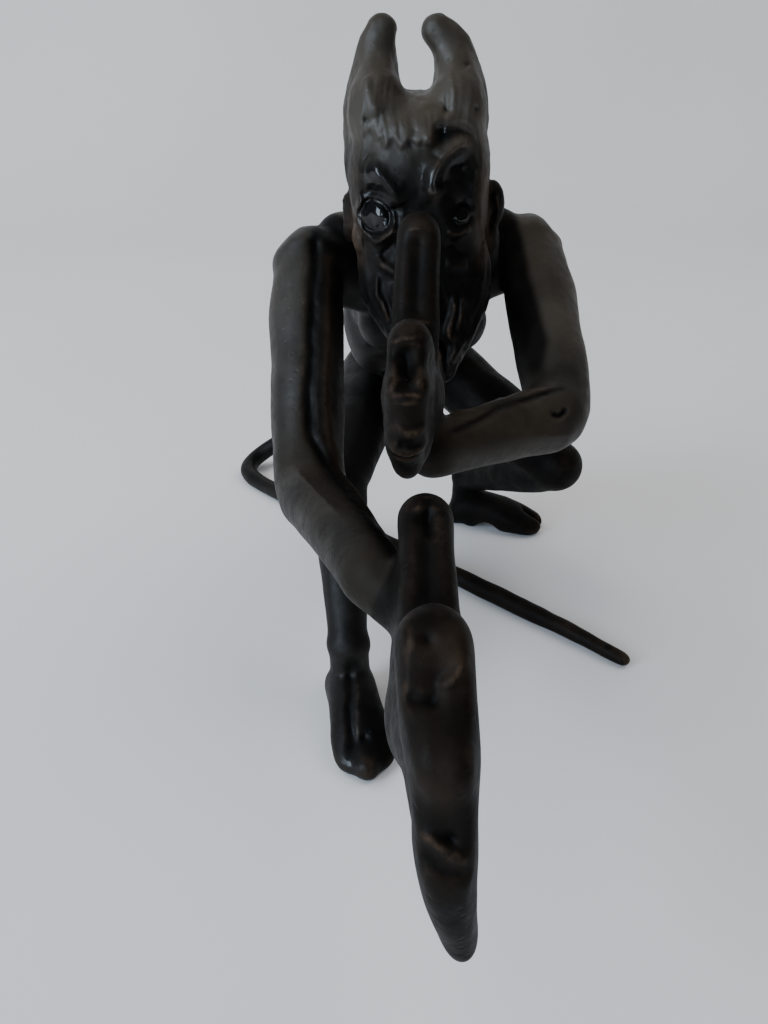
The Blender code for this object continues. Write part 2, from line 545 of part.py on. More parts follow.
def make_foot(ankle, turn):
    """Cloven foot with a heel, an arch and a sole that the table cuts flat."""
    ahead = Vector((math.sin(turn), -math.cos(turn), 0))
    sideways = Vector((math.cos(turn), math.sin(turn), 0))
    ground = Vector((ankle.x, ankle.y, 0))
    stations = [Station(ground + ahead * (TOE_REACH if along > 0 else HEEL_REACH) * along
                        + Z_AXIS * INSTEP_HEIGHT * high * 0.42,
                        FOOT_HALF_WIDTH * wide, INSTEP_HEIGHT * high * 0.58)
                for along, wide, high in FOOT_SECTIONS]
    foot = loft("foot", stations, sideways, steps=2, bulge=0.85)
    reach = CLEFT_LENGTH + FOOT_HALF_WIDTH
    cleft = block("cleft", ground + ahead * (TOE_REACH - CLEFT_LENGTH + 0.5 * reach),
                  (CLEFT_WIDTH, reach, 4 * INSTEP_HEIGHT), turn)
    arch_axis = ground + ahead * TOE_REACH * 0.30 + Z_AXIS * (ARCH_HEIGHT - ARCH_RADIUS)
    arch = rod("arch", arch_axis, sideways, 2 * FOOT_HALF_WIDTH, ARCH_RADIUS)
    return combine(foot, [cleft, arch], "DIFFERENCE")


def make_leg(name, hip, knee, ankle, turn):
    """Thigh, shin and foot in one casting, from the hip seat to the sole."""
    hinge = (knee - hip.point).cross(ankle - knee).normalized()
    top = beyond(hip)
    thigh = [round_station(top, THIGH_RADIUS), round_station(between(top, knee, 0.4), THIGH_RADIUS),
             round_station(knee, KNEE_RADIUS * INNER_BALL)]
    shin = [round_station(knee, KNEE_RADIUS),
            Station(between(knee, ankle, 0.35), CALF_RADIUS, CALF_RADIUS * 1.1),
            round_station(between(knee, ankle, 0.8), ANKLE_RADIUS),
            round_station(ankle, ANKLE_RADIUS)]
    instep = [round_station(ankle, ANKLE_RADIUS * INNER_BALL),
              round_station(Vector((ankle.x, ankle.y, INSTEP_HEIGHT * 0.5)), ANKLE_RADIUS)]
    solids = [loft("thigh", thigh, hinge, hip.direction, None, steps=2), loft("shin", shin, hinge, steps=2),
              loft("instep", instep, X_AXIS, steps=1), make_foot(ankle, turn)]
    return flat_sole(bore(fuse(name, solids), hip))


def make_tail():
    """Long round tail that comes down to the table and lies forward under the body."""
    radii = [TAIL_RADIUS] * len(TAIL_ROUTE)
    radii[0] = TAIL_ROOT_RADIUS
    radii[1] = between(TAIL_ROOT_RADIUS, TAIL_RADIUS, 0.5)
    radii[-2] = between(TAIL_RADIUS, TAIL_TIP_RADIUS, 0.4)
    radii[-1] = TAIL_TIP_RADIUS
    route = [beyond(TAIL_ROOT)] + TAIL_ROUTE[1:]
    stations = [round_station(point, radius) for point, radius in zip(route, radii)]
    tail = loft("tail", stations, Z_AXIS, TAIL_ROOT.direction, None, SMALL_SIDES)
    return flat_sole(bore(tail, TAIL_ROOT))


def make_dowel(name, seat):
    """Hidden pin across a seat, half in each casting."""
    centre = seat.point + seat.direction * 0.5 * SEAT_GAP
    return rod(name, centre, seat.direction, seat.dowel_depth, seat.dowel_radius, DOWEL_CHAMFER)


def make_material(name, colour, roughness, metallic):
    """Plain Principled finish."""
    material = bpy.data.materials.new(name)
    material.use_nodes = True
    shader = material.node_tree.nodes["Principled BSDF"]
    shader.inputs["Base Color"].default_value = (*colour, 1.0)
    shader.inputs["Roughness"].default_value = roughness
    shader.inputs["Metallic"].default_value = metallic
    return material


def finish(solid, material, origin, parent):
    """Shade a piece, give it its material and set its origin on its seat."""
    solid.data.materials.clear()
    solid.data.materials.append(material)
    solid.data.shade_smooth()
    solid.data.set_sharp_from_angle(angle=SHARP_ANGLE)
    for vert in solid.data.vertices:
        vert.co -= origin
    solid.location = origin
    solid.parent = parent


def main():
    for old in list(bpy.data.objects):
        bpy.data.objects.remove(old)
    figure = bpy.data.objects.new("figure", None)
    bpy.context.collection.objects.link(figure)
    bronze = make_material("dark_bronze", (0.030, 0.024, 0.020), 0.36, 0.75)
    brass = make_material("dowel_brass", (0.55, 0.42, 0.20), 0.35, 1.0)

    castings = [
        (make_torso(), PELVIS),
        (make_head(), NECK.point),
        (make_arm("right_arm", RIGHT_SHOULDER, ELBOW_RIGHT, RIGHT_WRIST), RIGHT_SHOULDER.point),
        (make_arm("left_arm", LEFT_SHOULDER, ELBOW_LEFT, LEFT_WRIST), LEFT_SHOULDER.point),
        (make_hand("right_hand", RIGHT_WRIST, PALM_RIGHT, THUMB_TIP_RIGHT, SWING_RIGHT,
                   FINGER_ANGLES_RIGHT, FINGER_REACH_RIGHT), RIGHT_WRIST.point),
        (make_hand("left_hand", LEFT_WRIST, PALM_LEFT, THUMB_TIP_LEFT, SWING_LEFT,
                   FINGER_ANGLES_LEFT, FINGER_REACH_LEFT), LEFT_WRIST.point),
        (make_leg("right_leg", RIGHT_HIP, KNEE_RIGHT, ANKLE_RIGHT, FOOT_TURN_RIGHT), RIGHT_HIP.point),
        (make_leg("left_leg", LEFT_HIP, KNEE_LEFT, ANKLE_LEFT, FOOT_TURN_LEFT), LEFT_HIP.point),
        (make_tail(), TAIL_ROOT.point),
    ]
    dowels = {"neck_pin": NECK, "right_shoulder_pin": RIGHT_SHOULDER, "left_shoulder_pin": LEFT_SHOULDER,
              "right_wrist_pin": RIGHT_WRIST, "left_wrist_pin": LEFT_WRIST, "right_hip_pin": RIGHT_HIP,
              "left_hip_pin": LEFT_HIP, "tail_pin": TAIL_ROOT}
    corners = [vert.co.copy() for casting, _ in castings for vert in casting.data.vertices]
    for casting, origin in castings:
        finish(casting, bronze, origin, figure)
    for name, seat in dowels.items():
        finish(make_dowel(name, seat), brass, seat.point, figure)
    for axis in (0, 1):
        places = [corner[axis] for corner in corners]
        figure.location[axis] = -0.5 * (min(places) + max(places))


main()
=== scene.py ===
"""Looks of the cast bronze devil: sculpted castings, dark patina, pale table, window light and camera."""
import itertools
import math

import bmesh
import bpy
import numpy as np
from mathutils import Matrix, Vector
from mathutils.bvhtree import BVHTree


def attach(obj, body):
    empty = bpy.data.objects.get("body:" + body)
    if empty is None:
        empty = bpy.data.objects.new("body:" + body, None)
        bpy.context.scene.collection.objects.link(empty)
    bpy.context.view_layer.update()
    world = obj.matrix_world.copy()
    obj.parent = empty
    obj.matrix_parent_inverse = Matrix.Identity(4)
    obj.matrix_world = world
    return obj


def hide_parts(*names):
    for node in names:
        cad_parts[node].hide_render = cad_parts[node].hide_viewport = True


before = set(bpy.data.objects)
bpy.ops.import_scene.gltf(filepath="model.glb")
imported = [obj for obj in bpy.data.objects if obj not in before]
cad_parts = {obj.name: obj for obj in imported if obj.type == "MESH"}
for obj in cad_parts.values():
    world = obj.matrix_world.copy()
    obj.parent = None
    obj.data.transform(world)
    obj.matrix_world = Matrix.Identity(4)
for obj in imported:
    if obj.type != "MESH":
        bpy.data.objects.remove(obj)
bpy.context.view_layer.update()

# Lengths below are in millimetres in the figure's own frame; this is where its origin lies in the shared one
FIGURE_ORIGIN = np.array((0.993, -1.871, 0.0))
MM = 0.001

# Skins
HEAD_VOXEL = 0.11
BODY_VOXEL = 0.20
HEAD_MELT = 40
HORN_MELT = 260
BRIDGE_MELT = 90
BODY_MELT = 60
LEAST_MELT = 0.005
HAND_MELT = 70
PAD_MELT = 110
TOE_MELT = 40
BLADE_MELT = 3
SEAT_FILL_LENGTH = 1.2
SEAT_RADIUS = {"right_shoulder_pin": 3.9, "left_shoulder_pin": 3.9, "right_wrist_pin": 2.75,
               "left_wrist_pin": 2.75, "right_hip_pin": 4.5, "left_hip_pin": 4.5, "tail_pin": 2.0}
SEAT_CUT_REACH = 1.9
TAIL_CUT_BACK = 1.5
TAIL_CUT_REACH = 2.6
BODY_NODES = ("torso", "right_arm", "left_arm", "right_hand", "left_hand", "right_leg", "left_leg", "tail")

# Joints of the figure
HEAD = np.array((-0.4, 8.0, 60.0))
SHOULDER_RIGHT = np.array((-12.2, 9.5, 51.4))
ELBOW_RIGHT = np.array((-11.2, -11.2, 34.2))
WRIST_RIGHT = np.array((-5.2, -28.3, 36.1))
PALM_RIGHT = np.array((-0.6, -44.7, 34.9))
PAD_REACH = ((-60, 15.0), (-20, 14.4), (10, 14.0), (36, 14.9), (62, 14.1), (90, 13.8))
LITTLE_BEND = 0.85
THUMB_RADIUS = 2.3
THUMB_HOLLOW = 0.7
THUMB_TIP_RIGHT = np.array((-0.5, -29.9, 40.9))
SHOULDER_LEFT = np.array((13.6, 15.5, 51.7))
ELBOW_LEFT = np.array((15.2, -4.0, 38.6))
WRIST_LEFT = np.array((3.2, -13.1, 39.5))
PALM_LEFT = np.array((-1.0, -14.7, 44.9))
THUMB_TIP_LEFT = np.array((-0.4, -5.8, 57.2))
FINGERS_LEFT = np.array((-1.9, -24.0, 48.5))
FINGER_HOLLOWS = ((((-1.9, -25.9, 53.6), (-1.9, -27.4, 52.2), (-1.9, -28.7, 50.6)), 0.85, -1.0),
                  (((-1.9, -28.3, 46.0), (-1.9, -27.6, 44.6)), 0.9, -0.9))
PAD_DENTS = (((-1.3, -54.4, 46.6), 1.2, -0.7), ((-0.3, -59.2, 40.6), 1.0, -0.7))
SPINE = ((0.5, 40.0, 33.0), (0.5, 33.5, 41.0), (0.8, 26.5, 47.5), (1.0, 21.0, 51.5), (0.6, 16.0, 54.0))
RIBS = 4
RIB_START = np.array((0.8, 12.5, 40.5))
RIB_STEP = np.array((0.0, -1.1, 2.1))
RIB_PATH = ((3.0, 0.0, -3.0), (7.6, 5.0, 0.0), (8.0, 9.5, 2.2), (4.0, 14.5, 5.0))
KNEE_RIGHT = np.array((-9.5, 9.5, 23.0))
ANKLE_RIGHT = np.array((-8.0, -5.5, 8.5))
HOOF_FRONT = np.array((-5.0, -19.55, 0.0))
HOOF_FACING = np.array((0.396, -0.918, 0.0))
KNEE_LEFT = np.array((21.2, 20.5, 20.2))
ANKLE_LEFT = np.array((10.7, 39.5, 8.5))

# A smooth shield laid over the front of the head: height, middle, half width, front and back of its sections
FACE_SECTIONS = ((8.4, 0.3, 3.2, 4.6, 0.0), (7.2, 0.3, 5.4, 7.2, 0.0), (5.2, 0.35, 6.7, 8.8, 0.0),
                 (2.0, 0.35, 7.3, 9.6, 0.0), (-2.0, 0.35, 7.3, 10.0, 0.0), (-5.0, 0.5, 7.1, 9.9, 0.0),
                 (-8.0, 1.0, 6.9, 10.0, 2.0), (-10.5, 1.5, 6.6, 10.5, 4.0), (-13.0, 1.9, 5.1, 11.0, 6.0),
                 (-15.5, 2.5, 3.1, 11.3, 7.5), (-17.4, 3.1, 1.2, 11.4, 9.2))
FACE_SQUARENESS = 2.6
BRIDGE_FRONT = 9.7

# Wax laid on before the skins are drawn, as middles and half sizes; the near hand's even edge is given as
# degrees from level, reach from the palm and radius
EAR_FLAPS = (((8.2, -1.3, -2.2), (1.25, 1.8, 2.6)), ((7.8, -1.5, -6.8), (1.45, 1.9, 4.2)))
FINGER_WEBS = (((-1.9, -26.8, 48.6), (1.8, 2.0, 2.2)), ((-1.9, -24.8, 51.5), (1.7, 1.7, 1.7)),
               ((-1.9, -25.6, 45.0), (1.6, 1.6, 1.6)), ((-0.6, -53.2, 34.2), (1.5, 3.4, 2.8)),
               ((-0.6, -53.0, 38.0), (1.5, 3.2, 2.4)), ((-0.6, -51.5, 42.0), (1.5, 3.0, 2.4)))
HAND_EDGE = ((-22, 12.2, 1.5), (-5, 11.9, 2.0), (15, 11.9, 2.2), (62, 11.9, 2.2))
CLEFT_FILL_RADIUS = 1.5
CLEFT_FILL_BACK = (1.4, 5.0)
FLANK = (((-4.6, 20.6, 42.2), (4.3, 5.6, 7.8)),)
SHOULDER_SLOPES = (((-8.3, 12.6, 53.2), (3.4, 3.2, 3.1)), ((9.6, 15.6, 53.2), (3.4, 3.2, 3.1)))

# Wax that runs from the temples up into the horns: places and radii of balls along it
HORN_ROOTS = (((-3.9, -3.2, 7.0, 2.7), (-3.95, -2.5, 10.2, 1.8), (-3.7, -1.4, 12.8, 1.2)),
              ((3.9, -3.2, 7.0, 2.8), (3.8, -2.5, 10.2, 1.95), (2.7, -1.4, 12.8, 1.3)))

# Camera, and marks on the arms, hands and right hoof placed in its picture, in pixels across and down
CAMERA = np.array((-3.6, -82.5, 72.0))
CAMERA_TILT = math.radians(30)
CAMERA_AHEAD = np.array((0.0, math.cos(CAMERA_TILT), -math.sin(CAMERA_TILT)))
CAMERA_UP = np.array((0.0, math.sin(CAMERA_TILT), math.cos(CAMERA_TILT)))
PICTURE_SIZE = np.array((768.0, 1024.0))
PICTURE_CENTRE = PICTURE_SIZE / 2
LENS = 28.125
SENSOR = 36.0
FOCAL_LENGTH = LENS / SENSOR * PICTURE_SIZE[1]
UP_AND_FORWARD = np.array((0.0, -0.8, 0.6))
ARM_GROOVE = ((314, 225), (314, 290), (311, 360), (310, 425), (320, 453), (333, 475), (367, 518), (394, 556))
ARM_RIM = ((331, 260), (330, 330), (328, 420), (346, 470), (380, 512), (402, 545))
# Faces of the arms that the light reaches, inside which sheen is painted as a lighter colour
ARM_LIT_FACE_RIGHT = ((200, 160), (312, 180), (314, 290), (310, 425), (333, 475), (367, 518), (396, 560),
                  (352, 660), (220, 560), (200, 330))
ARM_LIT_FACE_LEFT = ((500, 150), (533, 290), (547, 340), (541, 379), (556, 402), (680, 430), (680, 240),
                 (640, 130))
FOREARM_GROOVE = ((452, 432), (480, 419), (506, 406), (535, 397), (562, 389))
FOREARM_SHEEN = ((462, 462), (520, 452), (572, 430))
ELBOW_PIT = ((566, 408), (558, 416), (551, 413))
HAND_HOLLOW = ((401, 342), (406, 370), (407, 402))
HAND_LEDGE = ((391, 424), (409, 434), (434, 423))
HAND_CREASE = ((398, 443), (412, 446), (426, 441))
HAND_RIM = ((428, 352), (436, 385), (434, 418))
THUMB_CREASE = ((429, 498), (429, 516), (430, 540))
BLADE_ROWS = ((640, 1.0, -0.4), (700, 0.98, -0.4), (770, 0.87, -0.14), (887, 0.74, 0.17), (934, 0.75, 0.22),
              (971, 0.77, 0.5))
BLADE_RIMS = (((407, 612), (404, 660), (405, 700), (409, 778), (419, 854), (432, 915)),
              ((466, 625), (472, 700), (474, 778), (474, 854), (468, 920)))
BLADE_MIDDLE = ((437, 616), (438, 700), (442, 778), (446, 850), (450, 925))
BLADE_CREASES = (((405, 697), (422, 703), (440, 703)), ((423, 850), (446, 870), (471, 874)))
BLADE_LEDGES = (((440, 690), (456, 676), (467, 657)), ((420, 830), (446, 854), (468, 862)))
BLADE_PITS = (((426, 640), 8.0), ((450, 837), 7.0))
HOOF_GROOVE = ((352, 655), (350, 700), (354, 765))
HOOF_SHINE = ((346, 690), (349, 735), (351, 762))

# Face lines, as (x, z) from the head's centre, seen from the front
FACE_EDGE = ((-5.0, -7.6), (-5.4, -5.5), (-5.65, -3.0), (-5.6, 0.0), (-5.5, 2.2), (-5.2, 4.0), (-4.9, 5.2),
             (-4.3, 5.4), (-3.7, 4.9), (-3.3, 5.1), (-2.9, 4.2), (-2.3, 5.0), (-1.6, 4.1), (-0.9, 4.9),
             (0.0, 4.6), (0.5, 5.2), (1.1, 4.5), (1.5, 6.0), (3.4, 6.35), (5.0, 5.9), (5.7, 4.9), (6.05, 3.4),
             (6.2, 1.0), (6.35, -1.0), (6.8, -3.5), (7.1, -6.0), (6.4, -8.0), (3.0, -8.8), (-2.0, -8.6))
FOREHEAD = (-1.0, 2.4)
BROW_LEFT = ((4.7, 4.6), (3.24, 3.94), (2.03, 3.0), (1.36, 1.8), (1.36, 0.5), (1.76, -0.3))
SOCKET_LEFT = ((2.0, -0.4), (1.7, 1.8), (2.4, 3.2), (4.4, 4.1), (5.8, 3.7), (6.0, 1.4), (5.9, -0.8),
               (5.6, -2.6), (4.4, -3.1), (3.2, -2.4))
HOLLOW_LEFT = ((1.3, 3.9), (1.9, 5.9), (3.5, 6.05), (5.1, 5.6), (5.4, 4.9), (3.8, 4.7), (2.2, 4.3))
BROW_RIGHT = ((-4.7, 3.2), (-3.7, 1.8), (-2.7, 0.55), (-1.6, -0.9))
SOCKET_RIGHT = ((-5.4, -0.2), (-4.6, 0.8), (-3.2, 0.7), (-1.9, -0.6), (-1.5, -1.6), (-2.7, -3.2),
                (-3.5, -4.1), (-4.8, -4.0), (-5.5, -2.6))
BROW_KNOTS = (((-4.9, 1.8), 0.8, 0.4), ((0.9, 5.1), 0.7, 0.5))
EYE_RIGHT = (-4.02, -2.2)
EYE_LEFT = (4.45, -1.9)
# Hollows of the face painted darkest as shade, with how strongly
PAINTED_SHADE_HOLLOWS = ((SOCKET_LEFT, 0.6), (HOLLOW_LEFT, 0.9), (SOCKET_RIGHT, 0.65))
CHEEK_FOLD_RIGHT = ((-4.2, -4.7), (-2.7, -3.6), (-1.3, -3.1))
CHEEK_FOLD_LEFT = ((5.4, -3.4), (4.2, -3.7), (3.0, -3.2))
NOSTRIL_RIGHT = ((-3.4, -6.1), (-2.7, -5.2), (-1.9, -4.4))
NOSTRIL_LEFT = ((3.2, -4.3), (4.1, -5.0), (4.8, -6.0))
MOUSTACHE_RIGHT = ((-4.0, -6.3), (-2.8, -6.9), (-1.5, -7.4))
MOUSTACHE_LEFT = ((5.2, -6.4), (4.2, -6.6), (3.0, -6.2))
SIDE_LOCK = ((-6.3, 3.0), (-6.5, 0.0), (-6.3, -3.5), (-5.8, -6.5))
EAR_GROOVE = ((8.1, -0.4), (8.15, -2.5), (8.0, -5.0))
SIDE_EDGE = ((6.9, -5.3), (7.0, -7.4), (6.6, -9.8), (5.7, -12.3))
LACQUER_SPOTS = ((-4.2, -1.8, 1.7), (-4.3, 1.7, 0.9), (1.6, 1.3, 1.0), (4.0, 2.4, 0.9), (4.4, -1.8, 1.1),
                 (2.2, 5.2, 0.8))
BROWN_PADS = (((-0.2, -52.4, 47.2), 2.2, 0.45), ((-0.8, -58.0, 43.0), 2.0, 0.35),
              ((-0.8, -59.0, 38.0), 1.4, 0.2), ((-1.9, -25.6, 53.6), 1.6, 0.35),
              ((-1.9, -29.0, 49.6), 1.6, 0.3), ((-0.4, -8.0, 58.6), 1.4, 0.45))
HORN_RIDGE = ((-4.9, 10.0), (-4.5, 8.5), (-3.8, 6.8))
HORN_DENT = (-3.0, 8.6)
HORN_PITS = ((4.6, 10.7), (5.3, 7.3), (2.7, 7.1), (-4.8, 6.3))
BEARD_LOCKS = (((3.8, -9.0), (3.9, -10.7), (3.4, -12.5), (4.1, -14.1), (3.5, -16.3), (3.4, -17.4)),
               ((4.9, -9.4), (4.6, -11.0), (4.1, -12.8), (4.7, -14.0), (4.0, -16.0)),
               ((1.6, -8.0), (2.2, -10.0), (1.7, -12.5), (2.6, -15.0), (2.7, -17.2)),
               ((-0.4, -8.2), (0.1, -10.5), (-0.3, -12.6), (1.3, -15.8)),
               ((-2.4, -8.2), (-2.0, -10.4), (-1.0, -12.8), (0.3, -14.8)),
               ((-4.2, -7.6), (-3.7, -9.8), (-2.4, -12.0)))

# Stage, in metres: table with a rising backdrop, and the lights as name, place, target, size, power, colour
# and whether the metal mirrors them
TABLE_HALF_WIDTH = 1.2
TABLE_FRONT = -0.8
TABLE_BACK = 0.28
CURVE_RADIUS = 0.25
BACKDROP_HEIGHT = 1.2
DAYLIGHT = (0.72, 0.85, 1.0)
LAMPLIGHT = (1.0, 0.98, 0.95)
LIGHTS = (("window", (-0.52, -0.32, 0.33), (0, 0, 0.045), (0.26, 0.50), 4.8, DAYLIGHT, True),
          ("pane", (-0.20, -0.56, 0.24), (0, 0, 0.055), (0.14, 0.20), 1.0, DAYLIGHT, True),
          ("left_ceiling", (-0.45, 0.10, 0.75), (0, 0, 0.03), (0.7, 0.8), 5.1, LAMPLIGHT, False),
          ("right_ceiling", (0.45, 0.05, 0.75), (0, 0, 0.03), (0.7, 0.8), 4.3, LAMPLIGHT, False))
ROOM_COLOUR = (0.80, 0.86, 0.92)
ROOM_STRENGTH = 0.05


def falloff(gap, width):
    """One at no distance, fading to nothing over about twice the width."""
    return np.exp(-(gap / width) ** 2)


def step(value, low, high):
    """Rise smoothly from zero at low to one at high."""
    share = np.clip((value - low) / (high - low), 0, 1)
    return share * share * (3 - 2 * share)


def noise(points, size, seed):
    """Smooth noise between -1 and 1 whose lumps are about as wide as size."""
    spot = points / size
    cell = np.floor(spot).astype(np.int64)
    share = spot - cell
    share = share * share * (3 - 2 * share)
    total = np.zeros(len(points))
    for corner in itertools.product((0, 1), repeat=points.shape[1]):
        key = np.full(len(points), seed * 7919, np.int64)
        weight = np.ones(len(points))
        for axis, high in enumerate(corner):
            key = (key ^ (cell[:, axis] + high)) * 668265263
            key = key ^ (key >> 15)
            weight = weight * (share[:, axis] if high else 1 - share[:, axis])
        total += weight * ((key & 0xFFFF) / 32767.5 - 1)
    return total


def curve(path, steps=6):
    """A smooth curve through the given points."""
    path = np.asarray(path, float)
    padded = np.vstack((2 * path[0] - path[1], path, 2 * path[-1] - path[-2]))
    out = []
    for i in range(1, len(padded) - 2):
        a, b, c, d = padded[i - 1:i + 3]
        for t in np.arange(steps) / steps:
            out.append(0.5 * (2 * b + (c - a) * t + (2 * a - 5 * b + 4 * c - d) * t * t
                              + (3 * b - a - 3 * c + d) * t ** 3))
    out.append(path[-1])
    return np.array(out)


def closed(outline):
    """A smooth closed curve through the given points."""
    return curve((*outline, outline[0]), 3)


def along(points, path):
    """Distance from each point to a path, and the share of the path at which its nearest spot lies."""
    nearest = np.full(len(points), np.inf)
    place = np.zeros(len(points))
    lengths = np.linalg.norm(np.diff(path, axis=0), axis=1)
    done = 0.0
    for start, end, length in zip(path, path[1:], lengths):
        run = end - start
        t = np.clip((points - start) @ run / max(run @ run, 1e-12), 0, 1)
        gap = np.linalg.norm(points - start - t[:, None] * run, axis=1)
        closer = gap < nearest
        nearest[closer] = gap[closer]
        place[closer] = (done + t[closer] * length) / lengths.sum()
        done += length
    return nearest, place


def depth_inside(points, outline):
    """Distance in from an outline for the points it holds, and minus the distance for the others."""
    corners = np.asarray(outline, float)
    ring = np.vstack((corners, corners[:1]))
    held = np.zeros(len(points), bool)
    for (ax, az), (bx, bz) in zip(ring, ring[1:]):
        crosses = (az > points[:, 1]) != (bz > points[:, 1])
        held ^= crosses & (points[:, 0] < ax + (points[:, 1] - az) * (bx - ax) / (bz - az + 1e-12))
    gap = along(points, ring)[0]
    return np.where(held, gap, -gap)


class Skin:
    """The points of one casting's surface, pushed about like wax before it is cast."""

    def __init__(self, mesh):
        self.mesh = mesh
        self.count = len(mesh.vertices)
        flat = np.empty(self.count * 3)
        mesh.vertices.foreach_get("co", flat)
        self.points = flat.reshape(-1, 3) / MM - FIGURE_ORIGIN
        ends = np.empty(len(mesh.edges) * 2, np.int32)
        mesh.edges.foreach_get("vertices", ends)
        self.first, self.second = ends.reshape(-1, 2).T
        self.degree = np.bincount(ends, minlength=self.count)
        self.refresh()

    def refresh(self):
        """Hand the points back to the mesh and read the normals again."""
        self.mesh.vertices.foreach_set("co", ((self.points + FIGURE_ORIGIN) * MM).ravel())
        self.mesh.update()
        flat = np.empty(self.count * 3)
        self.mesh.vertex_normals.foreach_get("vector", flat)
        self.normals = flat.reshape(-1, 3)

    def average(self, values, first, second):
        """Mean of a value over each point's neighbours."""
        total = np.bincount(first, values[second], self.count)
        total += np.bincount(second, values[first], self.count)
        return total / self.degree

    def spread(self, values, rounds, where=None):
        """Blur a value over the surface, or over the edges that are given."""
        first, second = (self.first, self.second) if where is None else where
        for _ in range(rounds):
            values = 0.5 * values + 0.5 * self.average(values, first, second)
        return values

    def melt(self, rounds, weight=1.0):
        """Soften creases and facets, then give back the size that the smoothing took."""
        before = self.points.copy()
        share = 0.5 * np.broadcast_to(weight, self.count)
        live = np.maximum(share[self.first], share[self.second]) > LEAST_MELT
        where = self.first[live], self.second[live]
        share = share * (share > LEAST_MELT)
        for _ in range(rounds):
            for axis in range(3):
                column = self.points[:, axis]
                self.points[:, axis] = column + (self.average(column, *where) - column) * share
        self.refresh()
        lost = np.einsum("ij,ij->i", before - self.points, self.normals)
        self.push(self.spread(lost, rounds, where))
        self.refresh()

    def push(self, amount):
        """Move every point along its normal."""
        self.points += self.normals * amount[:, None]

    def ridge(self, path, width, height, where=1.0, fade=0.2):
        """Raise (or sink) a soft line along a path, fading at both ends."""
        gap, place = along(self.points, curve(path))
        ends = np.clip(np.minimum(place, 1 - place) / fade, 0, 1) ** 0.5 if fade else 1.0
        self.push(height * falloff(gap, width) * ends * where)

    def lump(self, centre, width, height, where=1.0):
        """Raise (or sink) a soft spot."""
        gap = np.linalg.norm(self.points - np.asarray(centre), axis=1)
        self.push(height * falloff(gap, width) * where)

    def curvature(self, rounds):
        """How far each point stands proud of its surroundings, in millimetres."""
        calm = np.column_stack([self.spread(column, rounds) for column in self.points.T])
        return np.einsum("ij,ij->i", self.points - calm, self.normals)


def pin_seat(name):
    """Middle and direction of the seat that a dowel crosses, in metres."""
    spots = np.array([v.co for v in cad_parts[name].data.vertices])
    middle = (spots.min(axis=0) + spots.max(axis=0)) / 2
    axis = np.linalg.svd(spots - spots.mean(axis=0), full_matrices=False)[2][0]
    return Vector(middle), Vector(axis).normalized()


def add_ball(builder, centre, radii):
    """Add an oval lump of wax."""
    made = bmesh.ops.create_uvsphere(builder, u_segments=32, v_segments=20, radius=1.0)
    for vert in made["verts"]:
        vert.co = Vector((np.array(vert.co) * radii + centre + FIGURE_ORIGIN) * MM)


def add_face(builder):
    """Add the smooth shield that the face is cut into."""
    turns = np.linspace(0, math.pi, 49)
    side = np.sign(np.cos(turns)) * np.abs(np.cos(turns)) ** (2 / FACE_SQUARENESS)
    ahead = np.abs(np.sin(turns)) ** (2 / FACE_SQUARENESS)
    rings = []
    for height, middle, width, fore, aft in curve(FACE_SECTIONS):
        depth = aft + (fore - aft) * ahead
        spots = np.column_stack((middle + width * side, -depth, np.full(len(turns), height)))
        rings.append([builder.verts.new(spot) for spot in (spots + HEAD + FIGURE_ORIGIN) * MM])
    for above, below in zip(rings, rings[1:]):
        for i, j in zip(range(-1, len(turns) - 1), range(len(turns))):
            builder.faces.new((above[i], above[j], below[j], below[i]))
    builder.faces.new(rings[0])
    builder.faces.new(rings[-1])


def remeshed(name, nodes, seats, voxel, wax):
    """One even skin over castings and added wax, with the fitting gaps at their seats filled."""
    builder = bmesh.new()
    for node in nodes:
        builder.from_mesh(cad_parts[node].data)
    for pin in seats:
        middle, axis = pin_seat(pin)
        turn = axis.to_track_quat("Z", "Y").to_matrix().to_4x4()
        turn.translation = middle
        bmesh.ops.create_cone(builder, cap_ends=True, segments=32, radius1=SEAT_RADIUS[pin] * MM,
                              radius2=SEAT_RADIUS[pin] * MM, depth=SEAT_FILL_LENGTH * MM, matrix=turn)
    wax(builder)
    bmesh.ops.recalc_face_normals(builder, faces=builder.faces)
    rough = bpy.data.meshes.new(name)
    builder.to_mesh(rough)
    builder.free()
    holder = bpy.data.objects.new(name, rough)
    bpy.context.scene.collection.objects.link(holder)
    even = holder.modifiers.new("even", "REMESH")
    even.mode = "VOXEL"
    even.voxel_size = voxel * MM
    graph = bpy.context.evaluated_depsgraph_get()
    mesh = bpy.data.meshes.new_from_object(holder.evaluated_get(graph))
    bpy.data.objects.remove(holder)
    return mesh


def head_wax(builder):
    """Lay the face shield, ear flap and horn roots on the head."""
    add_face(builder)
    for centre, radii in EAR_FLAPS:
        add_ball(builder, HEAD + centre, radii)
    for root in HORN_ROOTS:
        for *centre, radius in curve(root, 8):
            add_ball(builder, HEAD + centre, [radius] * 3)


def body_wax(builder):
    """Lay webs, slopes and the hands' and hoof's filling on the body."""
    for centre, radii in FINGER_WEBS + SHOULDER_SLOPES + FLANK:
        add_ball(builder, np.array(centre), radii)
    degrees, reaches, radii = zip(*HAND_EDGE)
    for turn in np.linspace(degrees[0], degrees[-1], 18):
        reach = np.interp(turn, degrees, reaches)
        ahead = np.array((0.0, -math.cos(math.radians(turn)), math.sin(math.radians(turn))))
        add_ball(builder, PALM_RIGHT + reach * ahead, [np.interp(turn, degrees, radii)] * 3)
    for back in np.linspace(*CLEFT_FILL_BACK, 6):
        centre = HOOF_FRONT - back * HOOF_FACING + (0, 0, CLEFT_FILL_RADIUS)
        add_ball(builder, centre, [CLEFT_FILL_RADIUS] * 3)


